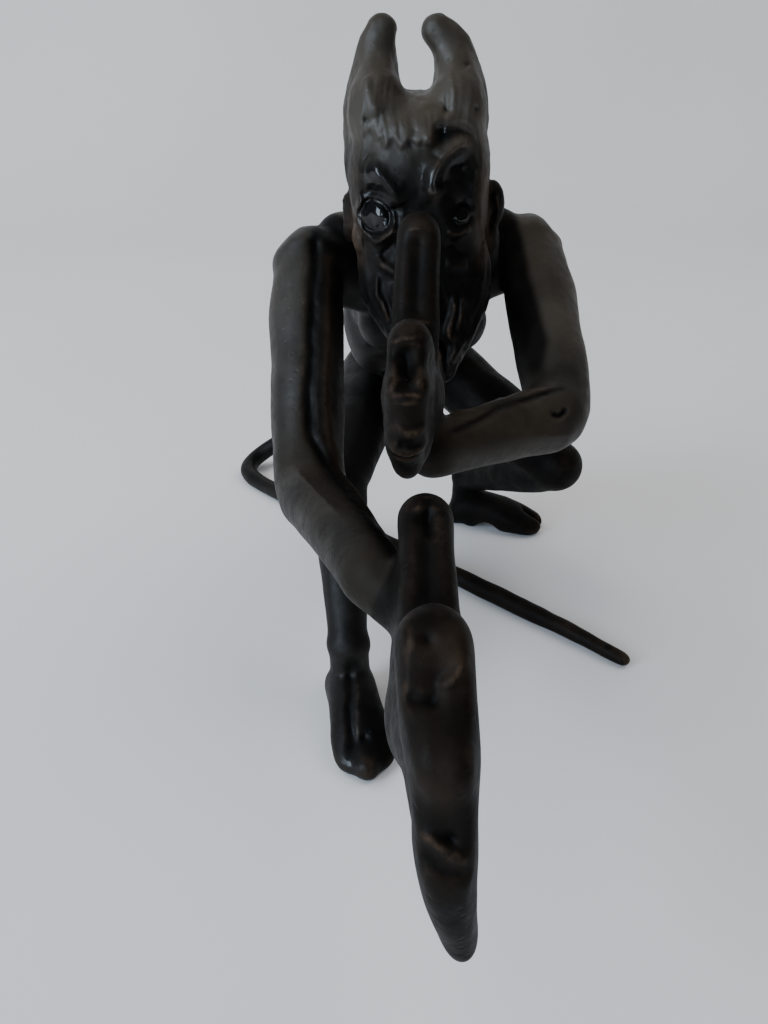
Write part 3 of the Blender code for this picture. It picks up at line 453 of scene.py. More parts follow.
class Relief:
    """Heights drawn on points as one view shows them, before they are pressed into the skin."""

    def __init__(self, seen):
        self.seen = seen
        self.height = np.zeros(len(seen))

    def line(self, path, width, height, fade=0.2):
        gap, place = along(self.seen, curve(path))
        ends = np.clip(np.minimum(place, 1 - place) / fade, 0, 1) ** 0.5
        self.height += height * falloff(gap, width) * ends

    def spot(self, centre, width, height):
        gap = np.linalg.norm(self.seen - np.asarray(centre), axis=1)
        self.height += height * falloff(gap, width)

    def hollow(self, outline, depth, soft, where=1.0):
        inside = depth_inside(self.seen, closed(outline))
        self.height -= depth * step(inside, -0.3 * soft, soft) * where

    def ring(self, centre, radius, width, height):
        gap = np.abs(np.linalg.norm(self.seen - np.asarray(centre), axis=1) - radius)
        self.height += height * falloff(gap, width)

    def dome(self, centre, radius, height):
        gap = np.linalg.norm(self.seen - np.asarray(centre), axis=1)
        self.height += height * np.sqrt(np.maximum(0, 1 - (gap / radius) ** 2))


def draw_face(seen, points):
    """Heights of the fringe, brows, eyes, cheek folds, side locks and beard."""
    wander = [0.20 * noise(points, 1.6, seed) + 0.07 * noise(points, 0.6, seed + 1) for seed in (61, 63)]
    face = Relief(seen + np.column_stack(wander))
    across, up = seen.T

    # Combed hair, and the face cut back behind its pointed ends and the side locks
    combed = step(up, 3.4, 5.0) * step(13.0 - up, 0.0, 5.0)
    sway = across + 0.35 * noise(points, 2.6, 3)
    strand = noise(np.column_stack((sway / 0.62, up / 4.5)), 1.0, 5)
    strand += 0.5 * noise(np.column_stack((sway / 0.32, up / 3.0)), 1.0, 6)
    face.height += 0.12 * strand * combed
    face.hollow(FACE_EDGE, 0.45, 0.55, step(up, -8.0, -4.5))

    # Full forehead, hollows around the eyes and above the left brow
    face.spot(FOREHEAD, 2.2, 0.35)
    face.hollow(SOCKET_LEFT, 1.1, 1.5)
    face.hollow(HOLLOW_LEFT, 0.55, 1.4)
    face.hollow(SOCKET_RIGHT, 0.9, 1.0)

    # Brows: a slanting one on the right, a hooked one on the left
    face.line(BROW_LEFT, 0.52, 0.80, 0.1)
    face.line(BROW_LEFT[2:], 0.80, 0.55)
    face.line(BROW_RIGHT, 0.85, 0.70, 0.25)
    for knot in BROW_KNOTS:
        face.spot(*knot)

    # Eyes: the right one large and ringed, the left one small and sunk
    face.dome(EYE_LEFT, 0.8, 0.75)
    face.dome(EYE_RIGHT, 1.4, 0.9)
    face.ring(EYE_RIGHT, 1.85, 0.36, 0.4)

    # Cheek folds, nostrils and moustache
    face.line(CHEEK_FOLD_RIGHT, 0.45, 0.6)
    face.line(NOSTRIL_RIGHT, 0.48, -0.5)
    face.line(MOUSTACHE_RIGHT, 0.5, 0.4)
    face.line(NOSTRIL_LEFT, 0.48, -0.35)
    face.line(CHEEK_FOLD_LEFT, 0.4, 0.4)
    face.line(MOUSTACHE_LEFT, 0.5, 0.3)

    # Side locks, ear groove, beard and horn marks
    face.line(SIDE_EDGE, 0.26, 0.35)
    face.line(EAR_GROOVE, 0.28, -0.6)
    face.line(SIDE_LOCK, 0.3, 0.2)
    for lock in BEARD_LOCKS:
        face.line(lock, 0.36, 0.6, 0.15)
    beard = step(-up, 7.6, 9.6)
    sway = across + 0.17 * (up + 7.0) + 0.4 * np.sin(up * 0.8)
    face.height += 0.15 * noise(np.column_stack((sway / 0.55, up / 3.0)), 1.0, 8) * beard
    face.height += 0.07 * noise(np.column_stack((sway / 0.3, up / 2.2)), 1.0, 10) * beard
    for pit in HORN_PITS:
        face.spot(pit, 0.35, -0.3)
    face.line(HORN_RIDGE, 0.6, 0.25)
    face.spot(HORN_DENT, 0.9, -0.3)
    return face.height


def sculpt_head(skin):
    """Smooth the head, then press the face, the back hair and the unevenness of hand-worked wax into it."""
    skin.melt(HEAD_MELT)
    local = skin.points - HEAD
    skin.melt(HORN_MELT, step(local[:, 2], 3.0, 6.0) * step(13.4 - local[:, 2], 0.0, 2.0))
    local = skin.points - HEAD
    limit = BRIDGE_FRONT + 2.5 * step(-local[:, 2], 1.6, 3.4)
    skin.points[:, 1] += np.maximum(-local[:, 1] - limit, 0) * step(local[:, 2], -4.0, -3.0)
    skin.refresh()
    local = skin.points - HEAD
    bridge = falloff(np.hypot(local[:, 0], local[:, 2] + 0.5), 2.0) * step(-local[:, 1], 5.0, 7.0)
    skin.melt(BRIDGE_MELT, bridge)
    skin.lump(HEAD + (-9.0, -1.0, -3.4), 2.6, -1.8)
    skin.refresh()
    local = skin.points - HEAD
    front = step(-skin.normals[:, 1], 0.05, 0.40) * step(-local[:, 1], 0.5, 3.0)
    skin.points[:, 1] -= draw_face(local[:, (0, 2)], skin.points) * front
    skin.refresh()
    behind = step(local[:, 1], -1.0, 1.0) * step(local[:, 2], -4.0, 0.0) * step(9.0 - local[:, 2], 0.0, 2.0)
    around = np.arctan2(local[:, 0], local[:, 1]) * 8.0 + 0.5 * noise(skin.points, 3.0, 4)
    skin.push(0.14 * noise(np.column_stack((around / 0.6, local[:, 2] / 4.0)), 1.0, 9) * behind)
    skin.push(0.08 * noise(skin.points, 1.4, 11) + 0.03 * noise(skin.points, 0.6, 12))
    skin.melt(4)


def toward_camera(start, end):
    """The direction square to a limb that faces up and forward."""
    run = (end - start) / np.linalg.norm(end - start)
    out = UP_AND_FORWARD - (UP_AND_FORWARD @ run) * run
    return out / np.linalg.norm(out)


def in_picture(points):
    """Where points lie in the camera's picture, and the directions from them to the camera."""
    away = points - CAMERA
    ahead = away @ CAMERA_AHEAD
    place = np.column_stack((away[:, 0] / ahead, -(away @ CAMERA_UP) / ahead)) * FOCAL_LENGTH + PICTURE_CENTRE
    return place, -away / np.linalg.norm(away, axis=1)[:, None]


def near_limb(points, joints, reach, fade=0.5):
    """One close to a limb's axis, falling to nothing past its reach."""
    return step(reach + fade - along(points, np.array(joints))[0], 0.0, fade)


def hoof_share(points):
    """One on the front part of the right hoof."""
    share = step(11.0 - points[:, 2], 0.0, 6.0) * step(-points[:, 1], 1.0, 4.0)
    return share * step(24.0 + points[:, 1], 0.0, 1.0)


def mark_limbs(skin):
    """Cut the grooves, rims, hollows and creases of arms, hands and right hoof as the camera sees them."""
    place, toward = in_picture(skin.points)
    for axis, seed in enumerate((71, 73)):
        place[:, axis] += 1.6 * noise(skin.points, 1.8, seed) + 0.6 * noise(skin.points, 0.7, seed + 1)
    facing = step(np.einsum("ij,ij->i", skin.normals, toward), 0.05, 0.35)

    def press(marks, where):
        skin.points += toward * (marks.height * facing * where)[:, None]

    right = near_limb(skin.points, (SHOULDER_RIGHT, ELBOW_RIGHT, WRIST_RIGHT), 6.0)
    marks = Relief(place)
    marks.line(ARM_GROOVE, 5.5, -0.55, 0.06)
    marks.line(ARM_RIM, 5.0, 0.3, 0.1)
    press(marks, right)
    left = near_limb(skin.points, (ELBOW_LEFT, WRIST_LEFT), 5.5)
    marks = Relief(place)
    marks.line(FOREARM_GROOVE, 4.0, -0.45, 0.15)
    marks.line(ELBOW_PIT, 3.0, -0.6, 0.2)
    press(marks, left)
    fingers = step(9.5 - np.linalg.norm(skin.points - FINGERS_LEFT, axis=1), 0.0, 1.0)
    marks = Relief(place)
    marks.line(HAND_HOLLOW, 12.5, -0.6, 0.25)
    marks.line(HAND_RIM, 5.0, 0.25)
    marks.line(HAND_LEDGE, 5.0, 0.35)
    marks.line(HAND_CREASE, 5.0, -0.35)
    press(marks, fingers)
    thumb = near_limb(skin.points, (PALM_RIGHT, THUMB_TIP_RIGHT), 3.6)
    marks = Relief(place)
    marks.line(THUMB_CREASE, 5.0, -0.3)
    press(marks, thumb)
    blade = step(PALM_RIGHT[1] - skin.points[:, 1], 2.0, 4.0)
    marks = Relief(place)
    for rim in BLADE_RIMS:
        marks.line(rim, 8.0, 0.22, 0.1)
    marks.line(BLADE_MIDDLE, 16.0, -0.25, 0.1)
    for crease in BLADE_CREASES:
        marks.line(crease, 8.0, -0.30)
    for ledge in BLADE_LEDGES:
        marks.line(ledge, 7.0, 0.30)
    for centre, width in BLADE_PITS:
        marks.spot(centre, width, -0.30)
    press(marks, blade)
    skin.refresh()
    skin.melt(BLADE_MELT, blade)
    marks = Relief(place)
    marks.line(HOOF_GROOVE, 4.5, -0.5)
    press(marks, hoof_share(skin.points))
    skin.refresh()


def flatten(skin, start, end, side, height, rough):
    """File a flat along one side of a limb."""
    gap, place = along(skin.points, np.array((start, end)))
    axis = start + place[:, None] * (end - start)
    rise = (skin.points - axis) @ side
    over = rise - height - rough
    ends = step(np.minimum(place, 1 - place), 0.0, 0.35)
    near = gap < 5.0
    skin.points -= np.outer(np.maximum(over, 0) * ends * near * 0.85, side)
    return near * ends * step(over, -0.05, 0.1)


def flatten_pads(skin):
    """Press the right hand's fingertips flat, thin its edge toward the lower end and bend that end."""
    ahead = PALM_RIGHT[1] - skin.points[:, 1]
    up = skin.points[:, 2] - PALM_RIGHT[2]
    reach = np.hypot(ahead, up)
    limit = np.interp(np.degrees(np.arctan2(up, ahead)), *zip(*PAD_REACH))
    hand = step(ahead, 0.0, 4.0) * (np.abs(skin.points[:, 0] - PALM_RIGHT[0]) < 6.0)
    share = 1 - 0.55 * np.maximum(reach - limit, 0) / np.maximum(reach, 1.0) * hand
    skin.points[:, 1] = PALM_RIGHT[1] - ahead * share
    skin.points[:, 2] = PALM_RIGHT[2] + up * share
    rows, shares, shifts = zip(*BLADE_ROWS)
    down = in_picture(skin.points)[0][:, 1]
    front = hand * step(reach, 3.0, 9.0)
    across = skin.points[:, 0] - PALM_RIGHT[0]
    across = across * (1 - (1 - np.interp(down, rows, shares)) * front)
    across += np.interp(down, rows, shifts) * front
    skin.points[:, 0] = PALM_RIGHT[0] + across + LITTLE_BEND * step(-up, -2.0, 6.0) * hand
    skin.refresh()
    skin.melt(PAD_MELT, hand * step(reach, 8.0, 11.0))


def sculpt_body(skin):
    """Muscle forms, filed flats, thumb grooves, finger hollows, ribs, spine, knee caps and parting lines."""
    skin.melt(BODY_MELT)
    hands = step(14.0 - np.minimum(np.linalg.norm(skin.points - PALM_RIGHT, axis=1),
                                   np.linalg.norm(skin.points - PALM_LEFT, axis=1) + 1.0), -3.5, 0.0)
    ahead = step(-skin.points[:, 1], 18.0, 22.0)
    skin.melt(HAND_MELT, hands * ahead)

    flatten_pads(skin)

    # Slow unevenness of hand-worked wax
    skin.push(0.16 * noise(skin.points, 5.5, 21) + 0.07 * noise(skin.points, 2.2, 22))
    skin.refresh()

    # Arms: shoulder caps, upper arm and forearm muscles, elbow points, and the mould's parting line
    for shoulder, elbow, wrist, out in ((SHOULDER_RIGHT, ELBOW_RIGHT, WRIST_RIGHT, -1),
                                        (SHOULDER_LEFT, ELBOW_LEFT, WRIST_LEFT, 1)):
        upper = elbow - shoulder
        lower = wrist - elbow
        skin.lump(shoulder + (3.2 * out, 0, 3.2), 2.6, -0.9)
        skin.lump(shoulder + 0.3 * upper + (3.4 * out, 0, 0), 3.4, 0.4)
        skin.lump(shoulder + 0.55 * upper + (0, -2.0, -2.4), 3.2, 0.35)
        skin.lump(elbow + 0.28 * lower + (1.5 * out, 0, 2.2), 3.0, 0.35)
        skin.lump(elbow + (1.2 * out, 2.2, -2.6), 1.6, 0.45)
        skin.ridge((shoulder + 0.12 * upper - (3.6 * out, 0, 0), shoulder + 0.5 * upper - (3.4 * out, 0, 0),
                    elbow - (2.6 * out, -0.4, 0.6), elbow + 0.5 * lower - (1.6 * out, -1.4, -2.6),
                    wrist - (1.2 * out, -0.6, -2.4)), 0.28, 0.2, fade=0.06)
    skin.refresh()

    # A flat filed along each forearm
    rough = 0.05 * noise(skin.points, 0.9, 31)
    side = toward_camera(ELBOW_LEFT, WRIST_LEFT)
    filed = flatten(skin, ELBOW_LEFT + (-0.5, 0, 0.6), WRIST_LEFT + (0.6, 0, 0), side, 2.35, rough)
    side = toward_camera(ELBOW_RIGHT, WRIST_RIGHT) * 0.8 + np.array((0.6, 0, 0))
    side = side / np.linalg.norm(side)
    filed = np.maximum(filed, flatten(skin, ELBOW_RIGHT, WRIST_RIGHT, side, 2.3, rough))
    skin.refresh()

    # Thumbs: a long hollow between two rounded rims
    for palm, tip, width in ((PALM_LEFT, THUMB_TIP_LEFT, 1.15), (PALM_RIGHT, THUMB_TIP_RIGHT, 1.05)):
        face = toward_camera(palm, tip) * THUMB_RADIUS
        path = [palm + share * (tip - palm) + face for share in (0.42, 0.7, 0.97)]
        skin.ridge(path, width, -THUMB_HOLLOW, fade=0.12)
    skin.refresh()

    # Torso: spine and ribs
    skin.ridge(SPINE, 0.9, -0.45, fade=0.1)
    for bone in curve(SPINE)[1:-1]:
        skin.lump(bone, 0.55, 0.3)
    for side in (-1, 1):
        for rib in range(RIBS):
            path = [RIB_START + rib * RIB_STEP + (side * out, back, up) for out, back, up in RIB_PATH]
            skin.ridge(path, 0.5, -0.3)
    skin.refresh()

    # Legs: knee caps and ankle bones
    for knee, ankle in ((KNEE_RIGHT, ANKLE_RIGHT), (KNEE_LEFT, ANKLE_LEFT)):
        skin.lump(knee + (0, -3.0, 1.6), 2.0, 0.45)
        skin.lump(ankle + (2.5, 0, 0.4), 1.3, 0.25)
        skin.lump(ankle + (-2.5, 0, 0.4), 1.3, 0.25)

    # Fingertips: hollows between the pads
    for path, width, height in FINGER_HOLLOWS:
        skin.ridge(path, width, height, fade=0.35)
    for centre, width, height in PAD_DENTS:
        skin.lump(centre, width, height)
    skin.refresh()

    mark_limbs(skin)

    # Right hoof: a blunt toe; and no sole below the table
    beyond = (skin.points - HOOF_FRONT) @ HOOF_FACING
    toe = (skin.points[:, 2] < 9.0) * (np.abs(skin.points[:, 0] + 5.0) < 8.0)
    toe = toe * (np.abs(skin.points[:, 1] + 19.0) < 6.0)
    skin.points -= np.outer(np.maximum(beyond, 0) * toe, HOOF_FACING)
    skin.refresh()
    skin.melt(TOE_MELT, toe * step(beyond, -5.0, -2.5))
    skin.melt(1)
    skin.points[:, 2] = np.maximum(skin.points[:, 2], 0.0)
    skin.refresh()
    return filed


def shade_values(skin, fine, broad, brown, lacquer, dust_and_sheen, gleam, painted_shade=0.0):
    """Store where the patina is worn, brown, lacquered and shiny, where it is darkest in hollows (pooled
    patina and painted shade) and where it is lighter (dusty patina and painted sheen).
    """
    proud = skin.curvature(fine)
    form = skin.curvature(broad)
    wear = step(proud, 0.004, 0.035) * 0.5 + step(form, 0.03, 0.22) * 0.6
    layers = {"wear": wear, "pool_and_shade": np.maximum(step(-form, 0.01, 0.14), painted_shade), "brown": brown,
              "lacquer": lacquer, "dust_and_sheen": dust_and_sheen, "gleam": gleam}
    for name, values in layers.items():
        layer = skin.mesh.attributes.new(name, "FLOAT", "POINT")
        layer.data.foreach_set("value", skin.spread(np.clip(values, 0, 1), 1))


def cut_at_seats(builder, seats):
    """Cut the skin in a flat ring at every seat and open it there."""
    jobs = []
    for pin in seats:
        middle, axis = pin_seat(pin)
        reach = SEAT_RADIUS[pin] * SEAT_CUT_REACH * MM
        if pin == "tail_pin":
            # Past the flare of the tail's root
            middle += axis * math.copysign(TAIL_CUT_BACK * MM, axis.y)
            reach = SEAT_RADIUS[pin] * TAIL_CUT_REACH * MM
        near = [f for f in builder.faces if (f.verts[0].co - middle).length < reach]
        jobs.append((middle, axis, near))
    rings = []
    for middle, axis, near in jobs:
        faces = [f for f in near if f.is_valid]
        edges = list({e for f in faces for e in f.edges})
        verts = list({v for f in faces for v in f.verts})
        found = bmesh.ops.bisect_plane(builder, geom=verts + edges + faces, dist=1e-7,
                                       plane_co=middle, plane_no=axis)
        loose = {e for e in found["geom_cut"] if isinstance(e, bmesh.types.BMEdge)}
        groups = []
        while loose:
            group = set()
            queue = [loose.pop()]
            while queue:
                edge = queue.pop()
                group.add(edge)
                joined = {e for v in edge.verts for e in v.link_edges if e in loose}
                loose -= joined
                queue.extend(joined)
            groups.append(group)
        offsets = [(sum((e.verts[0].co for e in g), Vector()) / len(g) - middle).length for g in groups]
        rings.extend(groups[offsets.index(min(offsets))])
    bmesh.ops.split_edges(builder, edges=rings)


def islands(builder):
    """The separate runs of joined faces."""
    left = set(builder.faces)
    while left:
        group = []
        queue = [left.pop()]
        while queue:
            face = queue.pop()
            group.append(face)
            for edge in face.edges:
                for other in edge.link_faces:
                    if other in left:
                        left.discard(other)
                        queue.append(other)
        yield group


def owner_of(group, trees):
    """The casting whose solid an island of skin lies on."""
    spots = [face.verts[0].co for face in group[::max(1, len(group) // 60)]]
    return min(trees, key=lambda node: sum(trees[node].find_nearest(spot)[3] for spot in spots))


def close_rings(mesh):
    """Close the flat ends of a cut skin, with a crisp edge around each."""
    builder = bmesh.new()
    builder.from_mesh(mesh)
    rim = [e for e in builder.edges if e.is_boundary]
    bmesh.ops.holes_fill(builder, edges=rim, sides=0)
    for edge in rim:
        edge.smooth = False
    bmesh.ops.triangulate(builder, faces=[f for f in builder.faces if len(f.verts) > 4])
    builder.to_mesh(mesh)
    builder.free()


def split_body(mesh):
    """Cut the body's one skin into a closed skin for each casting."""
    builder = bmesh.new()
    builder.from_mesh(mesh)
    cut_at_seats(builder, SEAT_RADIUS)
    trees = {}
    for node in BODY_NODES:
        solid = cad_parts[node].data
        spots = [v.co for v in solid.vertices]
        trees[node] = BVHTree.FromPolygons(spots, [p.vertices for p in solid.polygons])
    owner = builder.faces.layers.int.new("owner")
    for group in islands(builder):
        number = BODY_NODES.index(owner_of(group, trees))
        for face in group:
            face[owner] = number
    pieces = {}
    for number, node in enumerate(BODY_NODES):
        part = builder.copy()
        layer = part.faces.layers.int["owner"]
        bmesh.ops.delete(part, geom=[f for f in part.faces if f[layer] != number], context="FACES")
        pieces[node] = bpy.data.meshes.new(node + "_skin")
        part.to_mesh(pieces[node])
        part.free()
        pieces[node].attributes.remove(pieces[node].attributes["owner"])
        close_rings(pieces[node])
    builder.free()
    return pieces


def new_material(name):
    material = bpy.data.materials.new(name)
    material.use_nodes = True
    return material, material.node_tree, material.node_tree.nodes["Principled BSDF"]


def add_noise(tree, place, scale, detail, rough=0.5):
    texture = tree.nodes.new("ShaderNodeTexNoise")
    texture.inputs["Scale"].default_value = scale
    texture.inputs["Detail"].default_value = detail
    texture.inputs["Roughness"].default_value = rough
    tree.links.new(place, texture.inputs["Vector"])
    return texture.outputs["Fac"]


def add_ramp(tree, value, stops):
    ramp = tree.nodes.new("ShaderNodeValToRGB")
    band = ramp.color_ramp
    while len(band.elements) < len(stops):
        band.elements.new(0.5)
    for element, (place, colour) in zip(band.elements, stops):
        element.position = place
        element.color = (*colour, 1) if isinstance(colour, tuple) else (colour, colour, colour, 1)
    tree.links.new(value, ramp.inputs["Fac"])
    return ramp.outputs["Color"]


def add_math(tree, kind, first, second):
    node = tree.nodes.new("ShaderNodeMath")
    node.operation = kind
    node.use_clamp = True
    for socket, value in zip(node.inputs, (first, second)):
        if isinstance(value, (int, float)):
            socket.default_value = value
        else:
            tree.links.new(value, socket)
    return node.outputs["Value"]


def add_mix(tree, share, first, second):
    node = tree.nodes.new("ShaderNodeMix")
    node.data_type = "RGBA"
    tree.links.new(share, node.inputs["Factor"])
    for socket, value in ((node.inputs["A"], first), (node.inputs["B"], second)):
        if isinstance(value, tuple):
            socket.default_value = (*value, 1)
        else:
            tree.links.new(value, socket)
    return node.outputs["Result"]


def add_bump(tree, height, strength, distance, below=None):
    node = tree.nodes.new("ShaderNodeBump")
    node.inputs["Strength"].default_value = strength
    node.inputs["Distance"].default_value = distance
    tree.links.new(height, node.inputs["Height"])
    if below is not None:
        tree.links.new(below, node.inputs["Normal"])
    return node.outputs["Normal"]


def patina_material():
    """Very dark lacquered patina, worn to brown on the rims, darkest in the hollows as pooled patina and
    painted shade, and lighter where it is dusty and where sheen is painted.
    """
    material, tree, shader = new_material("patinated_bronze")
    place = tree.nodes.new("ShaderNodeTexCoord").outputs["Object"]

    def painted(name):
        node = tree.nodes.new("ShaderNodeAttribute")
        node.attribute_name = name
        return node.outputs["Fac"]

    wear, pool_and_shade, brown = painted("wear"), painted("pool_and_shade"), painted("brown")
    lacquer, dust_and_sheen, gleam = painted("lacquer"), painted("dust_and_sheen"), painted("gleam")
    clouds = add_noise(tree, place, 140.0, 4.0)
    grain = add_noise(tree, place, 900.0, 5.0, 0.65)
    rubbed = add_math(tree, "MULTIPLY", wear, add_ramp(tree, grain, ((0.35, 0.15), (0.62, 1.0))))
    rubbed = add_math(tree, "MAXIMUM", rubbed, add_math(tree, "MULTIPLY", brown, add_ramp(
        tree, clouds, ((0.36, 0.25), (0.58, 1.0)))))
    dark = add_ramp(tree, clouds, ((0.36, (0.0020, 0.0018, 0.0017)), (0.64, (0.0060, 0.0050, 0.0043))))
    metal = add_ramp(tree, grain, ((0.30, (0.028, 0.0185, 0.0120)), (0.70, (0.062, 0.041, 0.0270))))
    # Lighter grey-brown where the patina is dusty and where sheen is painted on the faces the light reaches
    dust_and_sheen_share = add_math(tree, "MULTIPLY", dust_and_sheen, add_ramp(tree, clouds, ((0.30, 0.45), (0.60, 1.0))))
    colour = add_mix(tree, rubbed, add_mix(tree, dust_and_sheen_share, dark, (0.042, 0.035, 0.026)), metal)
    # Darkest in the hollows, partly as pooled patina and partly as painted shade
    colour = add_mix(tree, pool_and_shade, colour, (0.0018, 0.0016, 0.0016))
    colour = add_mix(tree, lacquer, colour, (0.0016, 0.0016, 0.0019))
    tree.links.new(colour, shader.inputs["Base Color"])
    satin = add_ramp(tree, grain, ((0.30, 0.42), (0.72, 0.62)))
    matte = add_mix(tree, rubbed, satin, (0.56, 0.56, 0.56))
    tree.links.new(matte, shader.inputs["Roughness"])
    shader.inputs["IOR"].default_value = 1.5
    tree.links.new(gleam, shader.inputs["Specular IOR Level"])
    tree.links.new(lacquer, shader.inputs["Coat Weight"])
    shader.inputs["Coat Roughness"].default_value = 0.12
    shader.inputs["Coat IOR"].default_value = 1.42
    pits = tree.nodes.new("ShaderNodeTexVoronoi")
    pits.inputs["Scale"].default_value = 900.0
    tree.links.new(place, pits.inputs["Vector"])
    holes = add_ramp(tree, pits.outputs["Distance"], ((0.06, 0.0), (0.20, 1.0)))
    skin = add_bump(tree, holes, 0.40, 0.00006)
    skin = add_bump(tree, grain, 0.42, 0.00014, skin)
    tree.links.new(add_bump(tree, clouds, 0.25, 0.0006, skin), shader.inputs["Normal"])
    return material


def brass_material():
    """Drawn brass of the hidden dowels."""
    material, tree, shader = new_material("dowel_brass")
    place = tree.nodes.new("ShaderNodeTexCoord").outputs["Object"]
    grain = add_noise(tree, place, 1500.0, 3.0)
    tree.links.new(add_ramp(tree, grain, ((0.3, (0.34, 0.22, 0.08)), (0.7, (0.50, 0.35, 0.14)))),
                   shader.inputs["Base Color"])
    tree.links.new(add_ramp(tree, grain, ((0.3, 0.28), (0.7, 0.42))), shader.inputs["Roughness"])
    shader.inputs["Metallic"].default_value = 1.0
    return material


def floor_material():
    """Plain pale table top."""
    material, tree, shader = new_material("pale_table")
    place = tree.nodes.new("ShaderNodeTexCoord").outputs["Object"]
    clouds = add_noise(tree, place, 6.0, 3.0)
    tree.links.new(add_ramp(tree, clouds, ((0.3, (0.60, 0.60, 0.61)), (0.7, (0.64, 0.64, 0.65)))),
                   shader.inputs["Base Color"])
    shader.inputs["Roughness"].default_value = 0.85
    return material


def dress(node, mesh, material):
    """Put a sculpted skin in a casting's place."""
    mesh.materials.clear()
    mesh.materials.append(material)
    mesh.polygons.foreach_set("use_smooth", np.ones(len(mesh.polygons), bool))
    piece = bpy.data.objects.new(node + "_skin", mesh)
    bpy.context.scene.collection.objects.link(piece)
    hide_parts(node)
    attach(piece, "root")


def add_light(name, place, target, size, power, colour, mirrored):
    light = bpy.data.lights.new(name, "AREA")
    light.shape = "RECTANGLE"
    light.size, light.size_y = size
    light.energy = power
    light.color = colour
    lamp = bpy.data.objects.new(name, light)
    lamp.location = place
    lamp.rotation_euler = (Vector(target) - Vector(place)).to_track_quat("-Z", "Y").to_euler()
    lamp.visible_glossy = mirrored
    bpy.context.scene.collection.objects.link(lamp)


def make_stage():
    """Table with a rising backdrop, soft window light from the left, and the camera."""
    builder = bmesh.new()
    profile = [(TABLE_FRONT, 0.0), (TABLE_BACK, 0.0)]
    for turn in np.linspace(0.15, math.pi / 2, 14):
        profile.append((TABLE_BACK + CURVE_RADIUS * math.sin(turn), CURVE_RADIUS * (1 - math.cos(turn))))
    profile.append((TABLE_BACK + CURVE_RADIUS, BACKDROP_HEIGHT))
    rows = [[builder.verts.new((x, y, z)) for y, z in profile] for x in (-TABLE_HALF_WIDTH, TABLE_HALF_WIDTH)]
    for i in range(len(profile) - 1):
        builder.faces.new((rows[0][i], rows[1][i], rows[1][i + 1], rows[0][i + 1])).smooth = True
    mesh = bpy.data.meshes.new("table")
    builder.to_mesh(mesh)
    builder.free()
    mesh.materials.append(floor_material())
    table = bpy.data.objects.new("table", mesh)
    bpy.context.scene.collection.objects.link(table)

    for light in LIGHTS:
        add_light(*light)
    world = bpy.data.worlds.new("room")
    bpy.context.scene.world = world
    world.use_nodes = True
    world.node_tree.nodes["Background"].inputs["Color"].default_value = (*ROOM_COLOUR, 1)
    world.node_tree.nodes["Background"].inputs["Strength"].default_value = ROOM_STRENGTH

    lens = bpy.data.cameras.new("camera")
    lens.lens = LENS
    lens.sensor_width = SENSOR
    lens.clip_start = 0.005
    camera = bpy.data.objects.new("camera", lens)
    camera.location = Vector(CAMERA) * MM + Vector(FIGURE_ORIGIN) * MM
    camera.rotation_euler = (math.radians(90) - CAMERA_TILT, 0, 0)
    bpy.context.scene.collection.objects.link(camera)
    bpy.context.scene.camera = camera


def dress_head(patina):
    """Sculpt the head and mark its brown side strips, lacquered spots, hollows painted dark as shade, a
    painted highlight on the left brow and its top lightened as dusty patina and painted sheen.
    """
    head = Skin(remeshed("head_skin", ("head",), (), HEAD_VOXEL, head_wax))
    sculpt_head(head)
    local = head.points - HEAD
    strips = 0.9 * falloff(np.abs(local[:, 0] - 0.3) - 6.7, 1.0) * step(4.0 - local[:, 2], 0, 3)
    strips *= step(local[:, 2], -8.0, -6.0) * step(-local[:, 1], 0.0, 2.0)
    face = step(-head.normals[:, 1], 0.0, 0.3) * step(-local[:, 1], 3.0, 5.0)
    lacquer = np.zeros(len(local))
    for x, z, width in LACQUER_SPOTS:
        lacquer += falloff(np.hypot(local[:, 0] - x, local[:, 2] - z), width)
    lacquer = np.clip(lacquer, 0, 1) * face
    seen = local[:, (0, 2)]
    # The left brow's hook gets a painted highlight and is kept out of the painted shade of the hollows around
    # it
    brow = face * falloff(along(seen, curve(BROW_LEFT))[0], 0.45)
    painted_shade = np.zeros(len(local))
    for outline, amount in PAINTED_SHADE_HOLLOWS:
        inside = step(depth_inside(seen, closed(outline)), -0.1, 0.7)
        painted_shade = np.maximum(painted_shade, amount * inside * face * (1 - brow))
    # Lighter on the top as dusty patina and painted sheen, and along the left brow's hook as a painted
    # highlight
    dust_and_sheen = np.maximum(step(local[:, 2], 1.0, 6.0) * (1 - lacquer), 0.6 * brow)
    dust_and_sheen = np.maximum(dust_and_sheen, 0.15 * strips)
    gleam = 0.12 + 0.28 * dust_and_sheen - 0.08 * lacquer - 0.05 * strips
    shade_values(head, 3, 30, strips, lacquer, dust_and_sheen, gleam, painted_shade)
    dress("head", head.mesh, patina)


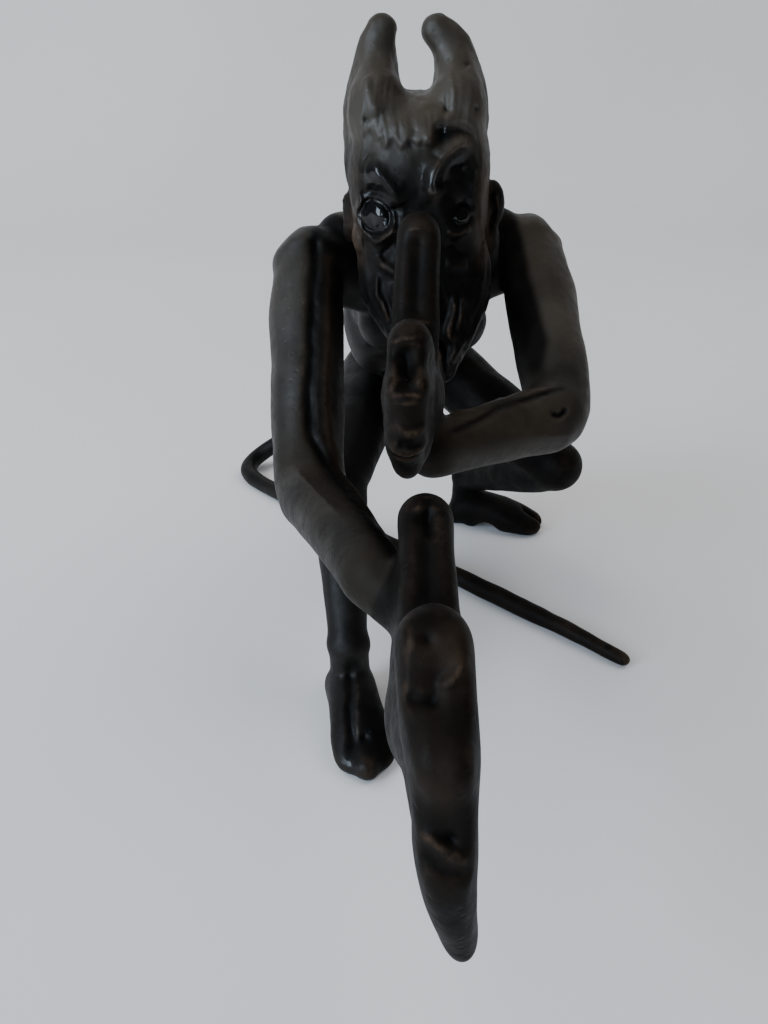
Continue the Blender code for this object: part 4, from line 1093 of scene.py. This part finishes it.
def dress_body(patina):
    """Sculpt the other castings as one skin, mark its patina with painted sheen on the arms' lit faces and
    painted shade in their grooves, and part it at the seats.
    """
    body = Skin(remeshed("body_skin", BODY_NODES, SEAT_RADIUS, BODY_VOXEL, body_wax))
    filed = sculpt_body(body)
    spots = body.points
    pads = np.zeros(len(spots))
    for centre, width, amount in BROWN_PADS:
        pads += amount * falloff(np.linalg.norm(spots - np.array(centre), axis=1), width)
    place = in_picture(spots)[0] + 2.0 * noise(spots, 2.4, 81)[:, None]
    right = near_limb(spots, (SHOULDER_RIGHT, ELBOW_RIGHT, WRIST_RIGHT), 6.0)
    left = near_limb(spots, (SHOULDER_LEFT, ELBOW_LEFT), 6.0)
    forearm = near_limb(spots, (ELBOW_LEFT, WRIST_LEFT), 3.0, 3.0)
    upper = step(spots[:, 2], 38.0, 50.0) * step(spots[:, 1], -4.0, 4.0)
    lit_right = step(depth_inside(place, ARM_LIT_FACE_RIGHT), -4.0, 5.0)
    lit_left = step(depth_inside(place, ARM_LIT_FACE_LEFT), -4.0, 6.0)
    arms = np.maximum(right, left)
    # Lighter colour: dusty patina on the up-facing upper body, painted sheen on the arms' faces that the
    # light reaches, and the left forearm lightened all round
    dust_and_sheen = 0.7 * upper * (1 - arms) * step(body.normals[:, 2], 0.1, 0.6)
    dust_and_sheen = np.maximum(dust_and_sheen, right * lit_right * (0.26 + 0.30 * upper))
    dust_and_sheen = np.maximum(dust_and_sheen, left * lit_left * (0.62 + 0.38 * upper) * (1 - forearm))
    dust_and_sheen = np.maximum(dust_and_sheen, 0.6 * forearm)
    # Painted shade: the right arm's groove and the left forearm's groove darkened, sent to the
    # darkest-hollows layer
    groove = right * falloff(along(place, curve(ARM_GROOVE))[0], 5.0)
    groove = np.maximum(groove, 0.8 * forearm * falloff(along(place, curve(FOREARM_GROOVE))[0], 3.5))
    rim = 0.35 * right * falloff(along(place, curve(ARM_RIM))[0], 6.0)
    rim = np.maximum(rim, 0.12 * body.spread(filed, 60))
    gleam = 0.06 + (0.08 + 0.24 * arms) * step(spots[:, 1], -14.0, 0.0) * step(spots[:, 2], 24.0, 42.0)
    gleam += 0.15 * step(spots[:, 1], -36.0, -22.0) * step(-spots[:, 0], 4.0, 7.0)
    # Painted shade: less shine on the arms outside their lit faces
    gleam *= 1 - 0.7 * np.maximum(right * (1 - lit_right), left * (1 - lit_left) * (1 - forearm))
    gleam += 0.16 * forearm * falloff(along(place, curve(FOREARM_SHEEN))[0], 13.0)
    shine = 0.5 * hoof_share(spots) * falloff(along(place, curve(HOOF_SHINE))[0], 6.0)
    shade_values(body, 3, 24, np.maximum(rim, pads), shine, dust_and_sheen, gleam, groove)
    for node, mesh in split_body(body.mesh).items():
        dress(node, mesh, patina)


def main():
    """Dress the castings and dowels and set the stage."""
    patina = patina_material()
    dress_head(patina)
    dress_body(patina)
    brass = brass_material()
    for node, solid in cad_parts.items():
        if node.endswith("_pin"):
            solid.data.materials.clear()
            solid.data.materials.append(brass)
    make_stage()


main()
